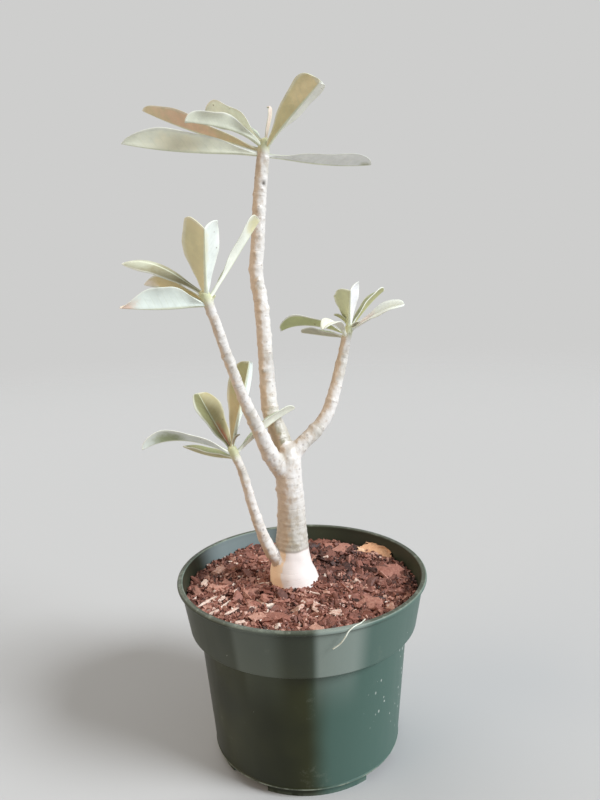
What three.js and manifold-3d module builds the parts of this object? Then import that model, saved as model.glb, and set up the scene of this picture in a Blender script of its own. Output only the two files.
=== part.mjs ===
// Potted desert rose (adenium): a swollen stem with four leafy shoots, growing in bark chips
// in a round plastic nursery pot. Millimetres, +Z up. It is drawn round the pot's axis, with the
// feet on z = 0, and the whole group is then centred on its bounding box.
import * as THREE from 'three';
import { mergeVertices } from 'three/addons/utils/BufferGeometryUtils.js';
import Module from 'manifold-3d';

const wasm = await Module();
wasm.setup();

// ---- Driving dimensions ----

const seatGap = 0.3; // clear space between touching pieces

const potSize = {
  height: 121.7,
  rimRadius: 82.5, // outside of the rolled lip, a 165 mm pot
  lipHeight: 3,
  lipRound: 0.9, // size of the lip's cut corners
  lipInnerRadius: 79,
  collarTopRadius: 80.3,
  collarFootRadius: 75.4,
  collarFootZ: 89,
  bodyTopRadius: 69.4,
  bodyTopZ: 88,
  bodyFootRadius: 62.8,
  wall: 1.5,
  floorZ: 5.8, // underside of the raised floor
  floorThickness: 1.6,
  footOuterRadius: 60.5,
  footInnerRadius: 57.5,
  footCount: 4,
  footSpan: 62, // degrees
  footTurn: -84, // degrees, where the front foot stands
  drainRadius: 6,
  drainCircle: 51,
  drainSides: 12,
  footSides: 8,
  facets: 48,
};

const soilSize = {
  centreZ: 111.6, // surface height round the stem
  edgeZ: 109.2, // surface height at the wall
  chipCount: 72,
  chipLength: [15, 25],
  chipWidth: [11, 19],
  chipThickness: [3, 5.5],
  chipTilt: 20, // degrees, most that a chip leans
  chipRise: [-1, 1.2], // a chip's middle against the surface
  chipRagged: [0.75, 1.25], // how far each corner strays, as a share
  chipMargin: 5, // from the outermost chip's middle to the wall
  rings: [0.8, 0.55, 0.3], // where the surface under the chips bends, shares of its radius
  seed: 41,
};

const stemSize = {
  trunkSides: 14,
  shootSides: 10,
  ringStep: 6.5, // along a shoot
  scarStep: 3.6, // a leaf scar at each of these, turned by the leaf spiral
  scarHeight: 0.16, // of the radius
  domeWidth: 0.55, // radius left on a limb's last ring, as a share
  domeRise: 0.35, // how far its end bulges, share of the radius
};

const leafSize = {
  stations: [0, 0.12, 0.26, 0.42, 0.57, 0.71, 0.84, 0.94, 1],
  thickness: 0.9,
  petioleWidth: 2.6,
  petioleThickness: 1.6,
  petioleEnd: 0.24, // share of the length where the stalk has become blade
  tipWidth: 2,
  swell: 1.2, // how late the blade widens
  lobedEnd: 0.85, // share of the width left at a lobed end
  rib: 0.5, // extra depth of the midrib's keel
  cup: 9, // degrees, how much a half curls over from rib to edge
  bow: 0.36, // pull of the midrib's end directions, share of the length
  wave: 0.7, // height of the edge wave
  waveWidth: 30, // blade width at which the wave has its full height
  waveCount: 2.3,
  waveTurn: 1.7, // radians, from one leaf's wave to the next
  lobeStart: 0.6, // share of the length where corners begin to reach forward
};

const leafSpiral = THREE.MathUtils.degToRad(137.5);

// Centre lines as [x, y, z, radius]. The camera side of the plant is -Y.
const trunkLine = [
  [-5, -1, 78, 5], [-5, -1, 92, 12.5], [-5, -1, 104, 16.6], [-5.2, -1, 112.3, 16.2],
  [-6.4, -1, 122.5, 15.2], [-6.1, -1, 133, 11.9], [-5.8, -1, 143, 10.5], [-5.5, -1, 156, 9.4],
  [-5.5, -1, 171, 8.8], [-6.2, -1, 186, 8.6], [-5.8, 0, 199, 8], [-5.8, 0.5, 204, 6],
];

const shootLines = {
  top: [
    [-5.5, 1, 194, 7], [-11.7, 8, 213.8, 5.9], [-16.7, 12, 226.6, 5.7], [-18.5, 16, 254, 5],
    [-20.3, 20, 296.5, 4.6], [-22.8, 21.5, 318, 4.5], [-21, 22, 337, 4.5], [-18.5, 23, 365, 4.3],
    [-15.2, 24, 391, 4], [-13.8, 24, 399, 3.3],
  ],
  left: [
    [-7, 0, 186, 7], [-16.7, -8, 202.8, 5.4], [-22.8, -15, 219.7, 4.5], [-31.8, -26, 246, 3.4],
    [-38.4, -35, 270.6, 3.1], [-44, -43, 293.4, 2.9], [-48.4, -46.5, 308, 2.9],
  ],
  right: [
    [-6, 1, 199, 6.4], [3.6, 4, 207.7, 4.9], [12.7, 8, 215.4, 4.6], [20.7, 12, 225.8, 4.3],
    [30.7, 21, 256, 3.7], [35.4, 25, 274.5, 3.1], [37.5, 25.5, 281, 2.9],
  ],
  low: [
    [-8, -3, 126, 6], [-16.5, -6, 133, 4.6], [-22.7, -8, 145.3, 3.9], [-29.6, -11, 169.4, 3.2],
    [-35.2, -13, 194.7, 2.8], [-40.9, -14.5, 210.5, 2.9],
  ],
};

// Leaves, from below the shoot's end up. down: how far below the end the stalk leaves the shoot.
// azimuth, rise and length aim the straight line from root to tip, riseOut and riseIn are the
// midrib's own slopes at root and tip, roll turns the blade about its midrib, and fold lifts
// each half from flat. peak: where the blade is widest, as a share of the length. A blade with
// lobes ends broad, its two corners reaching past the midrib by that much. Angles in degrees.
const leafTable = {
  top: [
    {
      down: 8, azimuth: 191, rise: 4, length: 87,
      riseOut: 1, riseIn: 12, width: 28, roll: -16, fold: 45, peak: 0.66,
    },
    {
      down: 6, azimuth: 162, rise: 21, length: 90,
      riseOut: 17, riseIn: 28, width: 20, roll: -20, fold: 35, peak: 0.76,
    },
    {
      down: 4.5, azimuth: 212, rise: 12, length: 54,
      riseOut: 32, riseIn: 2, width: 18, roll: -20, fold: 35, peak: 0.7,
    },
    {
      down: 2.5, azimuth: 142, rise: 29, length: 55,
      riseOut: 46, riseIn: -4, width: 16, roll: -20, fold: 30, peak: 0.76,
    },
    {
      down: 6, azimuth: -36, rise: 37, length: 55,
      riseOut: 41, riseIn: 38, width: 27, roll: 10, fold: 22, peak: 0.84,
    },
    {
      down: 8, azimuth: 7, rise: -6, length: 70,
      riseOut: -12, riseIn: 4, width: 21, roll: 10, fold: 20, peak: 0.74,
    },
    {
      down: 1, azimuth: 0, rise: 84, length: 21,
      riseOut: 74, riseIn: 205, width: 4, roll: 0, fold: 20, peak: 0.7,
    },
  ],
  left: [
    {
      down: 7, azimuth: 198, rise: 0, length: 48,
      riseOut: -10, riseIn: 8, width: 28, roll: -20, fold: 50, peak: 0.52,
    },
    {
      down: 2, azimuth: 173, rise: 22, length: 50,
      riseOut: 37, riseIn: -14, width: 15, roll: 25, fold: -20, peak: 0.72,
    },
    {
      down: 5, azimuth: 149, rise: 12, length: 47,
      riseOut: 18, riseIn: 6, width: 18, roll: -10, fold: 20, peak: 0.72,
    },
    {
      down: 2.5, azimuth: -79, rise: 58, length: 42,
      riseOut: 50, riseIn: 64, width: 28, roll: -7, fold: 47, peak: 0.72, lobes: [3.5, 0],
    },
    {
      down: 5, azimuth: 26, rise: 50, length: 57,
      riseOut: 46, riseIn: 50, width: 22, roll: 20, fold: 25, peak: 0.72,
    },
  ],
  right: [
    {
      down: 5, azimuth: 174, rise: 3, length: 45,
      riseOut: 16, riseIn: -26, width: 22, roll: -10, fold: 35, peak: 0.78,
    },
    {
      down: 7, azimuth: 142, rise: 2, length: 38,
      riseOut: -4, riseIn: 4, width: 16, roll: -10, fold: 30, peak: 0.72,
    },
    {
      down: 8, azimuth: -119, rise: 13, length: 38,
      riseOut: 42, riseIn: -24, width: 12, roll: 15, fold: 50, peak: 0.66,
    },
    {
      down: 2.5, azimuth: -89, rise: 58, length: 30,
      riseOut: 54, riseIn: 60, width: 24, roll: -2, fold: 55, peak: 0.74, lobes: [-4, 3],
    },
    {
      down: 2, azimuth: 33, rise: 38, length: 39,
      riseOut: 40, riseIn: 30, width: 16, roll: 20, fold: 30, peak: 0.7,
    },
    {
      down: 3.5, azimuth: -27, rise: 23, length: 42,
      riseOut: 22, riseIn: 12, width: 15, roll: 10, fold: 25, peak: 0.74,
    },
  ],
  low: [
    {
      down: 5, azimuth: 194, rise: 9, length: 57,
      riseOut: 32, riseIn: -26, width: 20, roll: -10, fold: 25, peak: 0.76,
    },
    {
      down: 6, azimuth: 147, rise: 2, length: 44,
      riseOut: -12, riseIn: 14, width: 18, roll: -10, fold: 25, peak: 0.6,
    },
    {
      down: 3.8, azimuth: 141, rise: 50, length: 47,
      riseOut: 44, riseIn: 56, width: 23, roll: 0, fold: 15, peak: 0.76,
    },
    {
      down: 0.4, azimuth: -4, rise: 76, length: 56,
      riseOut: 77, riseIn: 79, width: 24, roll: 60, fold: 50, peak: 0.74,
    },
    {
      down: 4, azimuth: 26, rise: 29, length: 49,
      riseOut: 32, riseIn: 20, width: 20, roll: 20, fold: 25, peak: 0.7,
    },
  ],
};

const colours = {
  pot: 0x3f5140,
  soil: 0x6a4234,
  stem: 0xcbb79b,
  leaf: 0xb4bd96,
};

// ---- Solids ----

// A seeded random number from 0 to 1 (mulberry32).
function seededRandom(seed) {
  let state = seed;
  return () => {
    state = (state + 0x6d2b79f5) | 0;
    let mixed = Math.imul(state ^ (state >>> 15), 1 | state);
    mixed = (mixed + Math.imul(mixed ^ (mixed >>> 7), 61 | mixed)) ^ mixed;
    return ((mixed ^ (mixed >>> 14)) >>> 0) / 4294967296;
  };
}

function between(random, [low, high]) {
  return low + (high - low) * random();
}

// The geometry with position only and its shared vertices merged.
function weld(geometry) {
  const bare = new THREE.BufferGeometry();
  bare.setAttribute('position', geometry.getAttribute('position'));
  bare.setIndex(geometry.getIndex());
  return mergeVertices(bare, 1e-4);
}

function toSolid(geometry) {
  const welded = weld(geometry);
  const index = welded.getIndex().array;
  const corners = [];
  for (let i = 0; i < index.length; i += 3) {
    const [a, b, c] = [index[i], index[i + 1], index[i + 2]];
    if (a !== b && b !== c && c !== a) corners.push(a, b, c);
  }
  return new wasm.Manifold(new wasm.Mesh({
    numProp: 3,
    vertProperties: new Float32Array(welded.getAttribute('position').array),
    triVerts: new Uint32Array(corners),
  }));
}

function toGeometry(solid) {
  const mesh = solid.getMesh();
  const geometry = new THREE.BufferGeometry();
  const count = mesh.vertProperties.length / mesh.numProp;
  const positions = new Float32Array(count * 3);
  for (let i = 0; i < count; i += 1) {
    positions.set(mesh.vertProperties.subarray(i * mesh.numProp, i * mesh.numProp + 3), i * 3);
  }
  geometry.setAttribute('position', new THREE.BufferAttribute(positions, 3));
  geometry.setIndex(new THREE.BufferAttribute(new Uint32Array(mesh.triVerts), 1));
  geometry.computeVertexNormals();
  return geometry;
}

// The largest of a solid's separate pieces.
function mainPiece(solid) {
  return solid.decompose().reduce((best, piece) => (piece.volume() > best.volume() ? piece : best));
}

// A lathe about Z from [radius, z] points.
function lathe(profile, facets) {
  const points = profile.map(([radius, z]) => new THREE.Vector2(radius, z));
  return new THREE.LatheGeometry(points, facets).rotateX(Math.PI / 2);
}

// ---- Pot ----

const innerFoot = potSize.bodyFootRadius - potSize.wall;
const innerBodyTop = potSize.bodyTopRadius - potSize.wall;
const innerCollarFoot = potSize.collarFootRadius - potSize.wall;
const innerCollarTop = potSize.collarTopRadius - potSize.wall;
const floorTopZ = potSize.floorZ + potSize.floorThickness;
const lipFootZ = potSize.height - potSize.lipHeight;
const ledgeInnerZ = potSize.bodyTopZ + potSize.wall;
const ledgeOuterZ = potSize.collarFootZ + potSize.wall;

function potShell() {
  const profile = [
    [0, potSize.floorZ],
    [potSize.bodyFootRadius, potSize.floorZ],
    [potSize.bodyTopRadius, potSize.bodyTopZ],
    [potSize.collarFootRadius, potSize.collarFootZ],
    [potSize.collarTopRadius, lipFootZ],
    [potSize.rimRadius, lipFootZ + potSize.lipRound / 2],
    [potSize.rimRadius, potSize.height - potSize.lipRound],
    [potSize.rimRadius - potSize.lipRound, potSize.height],
    [potSize.lipInnerRadius + potSize.lipRound, potSize.height],
    [potSize.lipInnerRadius, potSize.height - potSize.lipRound],
    [innerCollarTop, lipFootZ],
    [innerCollarFoot, ledgeOuterZ],
    [innerBodyTop, ledgeInnerZ],
    [innerFoot, floorTopZ],
    [0, floorTopZ],
  ];
  return toSolid(lathe(profile, potSize.facets));
}

function footStretch(number) {
  const half = THREE.MathUtils.degToRad(potSize.footSpan / 2);
  const middle = THREE.MathUtils.degToRad(potSize.footTurn + (360 / potSize.footCount) * number);
  const outline = new THREE.Shape();
  outline.absarc(0, 0, potSize.footOuterRadius, middle - half, middle + half, false);
  outline.absarc(0, 0, potSize.footInnerRadius, middle + half, middle - half, true);
  const depth = potSize.floorZ + potSize.floorThickness / 2;
  const curveSegments = potSize.footSides;
  return toSolid(new THREE.ExtrudeGeometry(outline, { depth, bevelEnabled: false, curveSegments }));
}

function drainHole(number) {
  const angle = THREE.MathUtils.degToRad(potSize.footTurn + (360 / potSize.footCount) * (number + 0.5));
  const hole = new THREE.CylinderGeometry(
    potSize.drainRadius, potSize.drainRadius, potSize.floorZ * 2, potSize.drainSides,
  );
  hole.rotateX(Math.PI / 2);
  const { drainCircle, floorZ } = potSize;
  hole.translate(drainCircle * Math.cos(angle), drainCircle * Math.sin(angle), floorZ);
  return toSolid(hole);
}

function makePot() {
  let solid = potShell();
  for (let number = 0; number < potSize.footCount; number += 1) {
    solid = solid.add(footStretch(number)).subtract(drainHole(number));
  }
  return solid;
}

// ---- Stem ----

function centreLine(line) {
  const points = line.map(([x, y, z]) => new THREE.Vector3(x, y, z));
  return new THREE.CatmullRomCurve3(points, false, 'centripetal');
}

// A tapering tube bent along a centre line, closed by a dome at its far end. grow fattens it.
function limb(line, sides, seed, grow = 0) {
  const curve = centreLine(line);
  const reach = curve.getLength();
  const rings = Math.round(reach / stemSize.ringStep);
  const frames = curve.computeFrenetFrames(rings, false);
  const places = Array.from({ length: rings + 1 }, (_, ring) => curve.getUtoTmapping(ring / rings));
  const tube = weld(new THREE.CylinderGeometry(1, 1, rings, sides, rings));
  const position = tube.getAttribute('position');
  const vertex = new THREE.Vector3();
  for (let i = 0; i < position.count; i += 1) {
    vertex.fromBufferAttribute(position, i);
    const ring = Math.round(vertex.y + rings / 2);
    const spoke = Math.hypot(vertex.x, vertex.z);
    const angle = Math.atan2(vertex.z, vertex.x);
    const stretch = places[ring] * (line.length - 1);
    const before = Math.min(Math.floor(stretch), line.length - 2);
    const radius = THREE.MathUtils.lerp(line[before][3], line[before + 1][3], stretch - before);
    const dome = ring === rings ? stemSize.domeWidth : 1;
    const scar = scarRelief((ring / rings) * reach, angle, seed);
    const out = spoke * (radius * dome * (1 + scar) + grow);
    const lift = ring === rings && spoke < 0.5 ? radius * stemSize.domeRise + grow : 0;
    const centre = curve.getPointAt(ring / rings);
    centre.addScaledVector(frames.normals[ring], out * Math.cos(angle));
    centre.addScaledVector(frames.binormals[ring], -out * Math.sin(angle));
    centre.addScaledVector(frames.tangents[ring], lift);
    position.setXYZ(i, centre.x, centre.y, centre.z);
  }
  return toSolid(tube);
}

// Low knobs in a spiral, where old leaves stood: their height as a share of the radius.
function scarRelief(along, angle, seed) {
  const nearest = Math.round(along / stemSize.scarStep);
  let relief = 0;
  for (let scar = nearest - 1; scar <= nearest + 1; scar += 1) {
    const offset = (along - scar * stemSize.scarStep) / stemSize.scarStep;
    const facing = Math.max(0, Math.cos(angle - scar * leafSpiral - seed));
    relief += facing ** 4 * Math.max(0, 1 - offset * offset);
  }
  return relief * stemSize.scarHeight;
}

function makeStem(grow = 0) {
  const trunk = limb(trunkLine, stemSize.trunkSides, 0, grow);
  return Object.values(shootLines).reduce(
    (stem, line, number) => stem.add(limb(line, stemSize.shootSides, number + 1, grow)),
    trunk,
  );
}

// ---- Potting mix ----

function innerVolume(topZ, topPoints) {
  const profile = [
    [0, floorTopZ + seatGap],
    [innerFoot - seatGap, floorTopZ + seatGap],
    [innerBodyTop - seatGap, ledgeInnerZ + seatGap],
    [innerCollarFoot - seatGap, ledgeOuterZ + seatGap],
    [wallInside(topZ) - seatGap, topZ],
    ...topPoints,
  ];
  return toSolid(lathe(profile, potSize.facets));
}

// The collar's inner radius at a height.
function wallInside(z) {
  const share = (z - ledgeOuterZ) / (lipFootZ - ledgeOuterZ);
  return THREE.MathUtils.lerp(innerCollarFoot, innerCollarTop, share);
}

function surfaceZ(radius) {
  const share = radius / wallInside(soilSize.edgeZ);
  return THREE.MathUtils.lerp(soilSize.centreZ, soilSize.edgeZ, share * share);
}

// A flat four-sided chip with ragged corners, lying near the surface.
function barkChip(number, random) {
  const reach = wallInside(soilSize.edgeZ) - soilSize.chipMargin;
  const radius = reach * Math.sqrt((number + 0.5) / soilSize.chipCount);
  const angle = number * leafSpiral;
  const chip = weld(new THREE.CylinderGeometry(0.5, 0.5, 1, 4, 1));
  const position = chip.getAttribute('position');
  for (let i = 0; i < position.count; i += 1) {
    const ragged = between(random, soilSize.chipRagged);
    position.setXYZ(i, position.getX(i) * ragged, position.getY(i), position.getZ(i) * ragged);
  }
  chip.rotateX(Math.PI / 2);
  chip.scale(
    between(random, soilSize.chipLength),
    between(random, soilSize.chipWidth),
    between(random, soilSize.chipThickness),
  );
  const tilt = THREE.MathUtils.degToRad(soilSize.chipTilt);
  chip.rotateX((2 * random() - 1) * tilt);
  chip.rotateY((2 * random() - 1) * tilt);
  chip.rotateZ(2 * Math.PI * random());
  const height = surfaceZ(radius) + between(random, soilSize.chipRise);
  chip.translate(radius * Math.cos(angle), radius * Math.sin(angle), height);
  return toSolid(chip);
}

function makeSoil(stemHole) {
  const random = seededRandom(soilSize.seed);
  const rings = soilSize.rings.map((share) => share * wallInside(soilSize.edgeZ));
  const top = [...rings.map((radius) => [radius, surfaceZ(radius)]), [0, soilSize.centreZ]];
  let solid = innerVolume(soilSize.edgeZ, top);
  for (let number = 0; number < soilSize.chipCount; number += 1) {
    solid = solid.add(barkChip(number, random));
  }
  const clear = innerVolume(lipFootZ, [[0, lipFootZ]]);
  return mainPiece(solid.intersect(clear).subtract(stemHole));
}

// ---- Leaves ----

// Blade width along the midrib: a slim stalk, widest at its peak, round at the tip.
function bladeWidth(share, spec) {
  const { peak, width } = spec;
  const swell = leafSize.swell;
  const close = (swell * (1 - peak)) / peak;
  const oval = (share / peak) ** swell * ((1 - share) / (1 - peak)) ** close;
  const past = Math.max(0, (share - peak) / (1 - peak));
  const broad = share < peak ? oval : 1 - (1 - leafSize.lobedEnd) * past * past;
  const least = share < 0.5 ? leafSize.petioleWidth : leafSize.tipWidth;
  return Math.max(width * (spec.lobes ? broad : oval), least);
}

function leafBlade(spec, root, phase) {
  const turn = THREE.MathUtils.degToRad(spec.azimuth);
  const heading = new THREE.Vector3(Math.cos(turn), Math.sin(turn), 0);
  const upward = new THREE.Vector3(0, 0, 1);
  const aim = (rise, reach) => {
    const slope = THREE.MathUtils.degToRad(rise);
    return new THREE.Vector3().addScaledVector(heading, Math.cos(slope) * reach)
      .addScaledVector(upward, Math.sin(slope) * reach);
  };
  const tip = root.clone().add(aim(spec.rise, spec.length));
  const pull = spec.length * leafSize.bow;
  const midrib = new THREE.CubicBezierCurve3(
    root, root.clone().add(aim(spec.riseOut, pull)), tip.clone().sub(aim(spec.riseIn, pull)), tip,
  );
  const level = new THREE.Vector3().crossVectors(heading, upward);
  const roll = THREE.MathUtils.degToRad(spec.roll);

  const rows = leafSize.stations.map((share) => {
    const ahead = midrib.getTangent(share);
    const above = new THREE.Vector3().crossVectors(level, ahead);
    const side = turned(level, above, roll);
    const normal = turned(above, level, -roll);
    return bladeRow(share, { centre: midrib.getPoint(share), ahead, side, normal }, spec, phase);
  });
  return toSolid(sheet(rows.map((row) => row.top), rows.map((row) => row.bottom)));
}

// A direction turned by an angle towards another that is square to it.
function turned(from, towards, angle) {
  return from.clone().multiplyScalar(Math.cos(angle)).addScaledVector(towards, Math.sin(angle));
}

// Five points across the blade on its upper and its lower face.
function bladeRow(share, frame, spec, phase) {
  const { centre, ahead, side, normal } = frame;
  const opened = THREE.MathUtils.smoothstep(share, 0, leafSize.petioleEnd);
  const fold = THREE.MathUtils.degToRad(spec.fold) * (0.5 + 0.5 * opened);
  const cup = THREE.MathUtils.degToRad(leafSize.cup);
  const quarter = bladeWidth(share, spec) / 4;
  const depth = THREE.MathUtils.lerp(leafSize.petioleThickness, leafSize.thickness, opened) / 2;
  const ripple = leafSize.wave * (spec.width / leafSize.waveWidth) * opened
    * Math.sin(share * leafSize.waveCount * 2 * Math.PI + phase);
  const forward = THREE.MathUtils.smoothstep(share, leafSize.lobeStart, 1);
  const lobes = spec.lobes ?? [0, 0];
  const top = [];
  const bottom = [];
  for (let column = -2; column <= 2; column += 1) {
    const hand = Math.sign(column);
    const isRib = column === 0;
    const isEdge = Math.abs(column) === 2;
    const inner = isRib ? 0 : quarter;
    const outer = isEdge ? quarter : 0;
    const across = hand * (inner * Math.cos(fold + cup) + outer * Math.cos(fold - cup));
    const lift = inner * Math.sin(fold + cup) + outer * Math.sin(fold - cup) + (isEdge ? ripple * hand : 0);
    const facing = turned(normal, side, -hand * (isEdge ? fold - cup : fold));
    const rise = isRib ? depth / Math.cos(fold) : depth;
    const keel = isRib ? leafSize.rib * (1 - share) : 0;
    const place = centre.clone().addScaledVector(side, across).addScaledVector(normal, lift);
    place.addScaledVector(ahead, lobes[hand > 0 ? 0 : 1] * (Math.abs(column) / 2) * forward);
    top.push(place.clone().addScaledVector(facing, rise));
    bottom.push(place.clone().addScaledVector(facing, -rise - keel));
  }
  return { top, bottom };
}

// A closed sheet between two grids of points, split into triangles alike on both faces.
function sheet(topRows, bottomRows) {
  const rows = topRows.length;
  const columns = topRows[0].length;
  const points = [...topRows.flat(), ...bottomRows.flat()];
  const positions = points.flatMap((point) => point.toArray());
  const top = (row, column) => row * columns + column;
  const bottom = (row, column) => rows * columns + top(row, column);
  const index = [];
  const quad = (a, b, c, d) => index.push(a, b, c, a, c, d);
  for (let row = 0; row < rows - 1; row += 1) {
    for (let column = 0; column < columns - 1; column += 1) {
      quad(top(row, column), top(row, column + 1), top(row + 1, column + 1), top(row + 1, column));
      index.push(bottom(row, column), bottom(row + 1, column + 1), bottom(row, column + 1));
      index.push(bottom(row, column), bottom(row + 1, column), bottom(row + 1, column + 1));
    }
    const last = columns - 1;
    quad(bottom(row, 0), top(row, 0), top(row + 1, 0), bottom(row + 1, 0));
    quad(top(row, last), bottom(row, last), bottom(row + 1, last), top(row + 1, last));
  }
  for (let column = 0; column < columns - 1; column += 1) {
    const last = rows - 1;
    quad(bottom(0, column), bottom(0, column + 1), top(0, column + 1), top(0, column));
    quad(top(last, column), top(last, column + 1), bottom(last, column + 1), bottom(last, column));
  }
  const geometry = new THREE.BufferGeometry();
  geometry.setAttribute('position', new THREE.BufferAttribute(new Float32Array(positions), 3));
  geometry.setIndex(index);
  return geometry;
}

// The point on a shoot's centre line that lies down below its end.
function leafRoot(line, down) {
  const curve = centreLine(line);
  return curve.getPointAt(1 - down / curve.getLength());
}

// ---- Assembly ----

const plant = new THREE.Group();

function place(name, solid, color, roughness) {
  const material = new THREE.MeshStandardMaterial({ color, roughness, metalness: 0 });
  const mesh = new THREE.Mesh(toGeometry(solid), material);
  mesh.name = name;
  plant.add(mesh);
}

const stemClearance = makeStem(seatGap);
place('pot', makePot(), colours.pot, 0.45);
place('soil', makeSoil(stemClearance), colours.soil, 0.95);
place('stem', makeStem(), colours.stem, 0.75);
for (const [shoot, specs] of Object.entries(leafTable)) {
  specs.forEach((spec, number) => {
    const root = leafRoot(shootLines[shoot], spec.down);
    const blade = leafBlade(spec, root, number * leafSize.waveTurn).subtract(stemClearance);
    place(`leaf_${shoot}_${number + 1}`, mainPiece(blade), colours.leaf, 0.5);
  });
}

const bounds = new THREE.Box3().setFromObject(plant);
const middle = bounds.getCenter(new THREE.Vector3());
plant.position.set(-middle.x, -middle.y, -bounds.min.z);

export default plant;
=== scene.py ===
# Potted desert rose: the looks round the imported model. Places are in millimetres from the middle
# of the pot's base, with the camera side at -Y, and at() turns them into metres in the frame.
import math
import random

import bmesh
import bpy
from mathutils import Euler, Matrix, Vector, kdtree, noise


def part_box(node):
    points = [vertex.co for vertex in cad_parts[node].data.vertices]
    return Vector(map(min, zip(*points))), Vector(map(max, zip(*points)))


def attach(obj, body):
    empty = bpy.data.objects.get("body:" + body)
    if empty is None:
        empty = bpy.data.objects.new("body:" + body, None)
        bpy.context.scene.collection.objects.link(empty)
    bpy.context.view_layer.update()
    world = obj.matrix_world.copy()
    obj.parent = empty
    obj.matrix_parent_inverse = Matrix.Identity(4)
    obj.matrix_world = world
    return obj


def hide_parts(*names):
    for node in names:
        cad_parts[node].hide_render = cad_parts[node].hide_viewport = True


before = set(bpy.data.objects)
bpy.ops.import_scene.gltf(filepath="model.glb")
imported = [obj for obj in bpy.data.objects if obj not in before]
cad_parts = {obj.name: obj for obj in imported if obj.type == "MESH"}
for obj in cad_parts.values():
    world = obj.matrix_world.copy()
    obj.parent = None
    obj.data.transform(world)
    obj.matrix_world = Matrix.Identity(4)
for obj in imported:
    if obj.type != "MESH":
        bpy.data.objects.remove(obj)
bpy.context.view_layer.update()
mm = 0.001
potLow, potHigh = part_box("pot")
potMiddle = Vector(((potLow.x + potHigh.x) / 2, (potLow.y + potHigh.y) / 2, potLow.z))
print("frame loaded")


def at(x, y, z):
    return potMiddle + Vector((x, y, z)) * mm


def mixed(first, second, share):
    return first + (second - first) * share


def smooth(value, low, high):
    share = max(0.0, min(1.0, (value - low) / (high - low)))
    return share * share * (3 - 2 * share)


def heading(turn, rise):
    # a unit vector, so many degrees round from X and up from level
    turn, rise = math.radians(turn), math.radians(rise)
    return Vector((math.cos(turn) * math.cos(rise), math.sin(turn) * math.cos(rise), math.sin(rise)))


def newObject(name, data):
    thing = bpy.data.objects.new(name, data)
    bpy.context.scene.collection.objects.link(thing)
    return thing


cameraSetup = {
    "place": (2.7, -427.0, 317.3),
    "pitch": 10.66,  # degrees down
    "roll": 1.96,
    "focalPixels": 680, "imageHeight": 800, "sensor": 36, "nearest": 10,
}
lightSetup = {  # suns: bearing is degrees to the right of the camera's side
    "key": {"bearing": 66, "rise": 36, "angle": 24, "strength": 3.8, "colour": (0.93, 0.98, 1.04)},
    "fill": {"bearing": -72, "rise": 24, "angle": 50, "strength": 1.05, "colour": (1.0, 0.80, 0.58)},
    "back": {"bearing": -150, "rise": 48, "angle": 50, "strength": 0.9, "colour": (1.0, 0.98, 0.95)},
    "sky": (0.90, 0.95, 1.0),
    "skyStrength": 0.34,
    "backdrop": (206, 206, 205),
}


def tint(shade):
    parts = [value / 255 for value in shade]
    return (*(part / 12.92 if part <= 0.04045 else ((part + 0.055) / 1.055) ** 2.4 for part in parts), 1.0)


def placeCamera():
    setup = cameraSetup
    pitch, roll = math.radians(setup["pitch"]), math.radians(setup["roll"])
    level, rise = Vector((1, 0, 0)), Vector((0, math.sin(pitch), math.cos(pitch)))
    right = level * math.cos(roll) - rise * math.sin(roll)
    up = level * math.sin(roll) + rise * math.cos(roll)
    lens = bpy.data.cameras.new("camera")
    lens.sensor_width = setup["sensor"]
    lens.lens = lens.sensor_width * setup["focalPixels"] / setup["imageHeight"]
    lens.clip_start = setup["nearest"] * mm
    camera = newObject("camera", lens)
    turn = Matrix((right, up, right.cross(up))).transposed().to_4x4()
    camera.matrix_world = Matrix.Translation(at(*setup["place"])) @ turn
    bpy.context.scene.camera = camera


def placeLight(name):
    setup = lightSetup[name]
    lamp = bpy.data.lights.new(name, "SUN")
    lamp.angle = math.radians(setup["angle"])
    lamp.energy = setup["strength"]
    lamp.color = setup["colour"]
    towards = heading(setup["bearing"] - 90, setup["rise"])
    light = newObject(name, lamp)
    light.location = potMiddle + towards
    light.rotation_euler = towards.to_track_quat("Z", "Y").to_euler()


def placeSky():
    # the camera sees a plain backdrop, and the object is lit by a softer sky
    world = bpy.data.worlds.new("sky")
    world.use_nodes = True
    nodes, links = world.node_tree.nodes, world.node_tree.links
    lighting = nodes["Background"]
    lighting.inputs["Color"].default_value = (*lightSetup["sky"], 1)
    lighting.inputs["Strength"].default_value = lightSetup["skyStrength"]
    kinds = ("Background", "LightPath", "MixShader")
    backdrop, path, mix = (nodes.new("ShaderNode" + kind) for kind in kinds)
    backdrop.inputs["Color"].default_value = tint(lightSetup["backdrop"])
    links.new(path.outputs["Is Camera Ray"], mix.inputs[0])
    links.new(lighting.outputs[0], mix.inputs[1])
    links.new(backdrop.outputs[0], mix.inputs[2])
    links.new(mix.outputs[0], nodes["World Output"].inputs["Surface"])
    bpy.context.scene.world = world


placeCamera()
for lightName in ("key", "fill", "back"):
    placeLight(lightName)
placeSky()
bpy.context.scene.view_settings.view_transform = "Standard"
print("camera and light placed")


def feed(tree, socket, value):
    if isinstance(value, bpy.types.NodeSocket):
        tree.links.new(value, socket)
    else:
        socket.default_value = value


def addNode(tree, kind, inputs=None, **settings):
    node = tree.nodes.new("ShaderNode" + kind)
    for name, value in settings.items():
        setattr(node, name, value)
    for socket, value in (inputs or {}).items():
        feed(tree, node.inputs[socket], value)
    return node


def calc(tree, operation, first, *others):
    # Math nodes in a row, each of which takes in one more value
    for value in others or (0.0,):
        first = addNode(tree, "Math", {0: first, 1: value}, operation=operation).outputs[0]
    return first


def times(tree, *values):
    return calc(tree, "MULTIPLY", *values)


def plus(tree, *values):
    return calc(tree, "ADD", *values)


def minus(tree, first, second):
    return calc(tree, "SUBTRACT", first, second)


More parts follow.
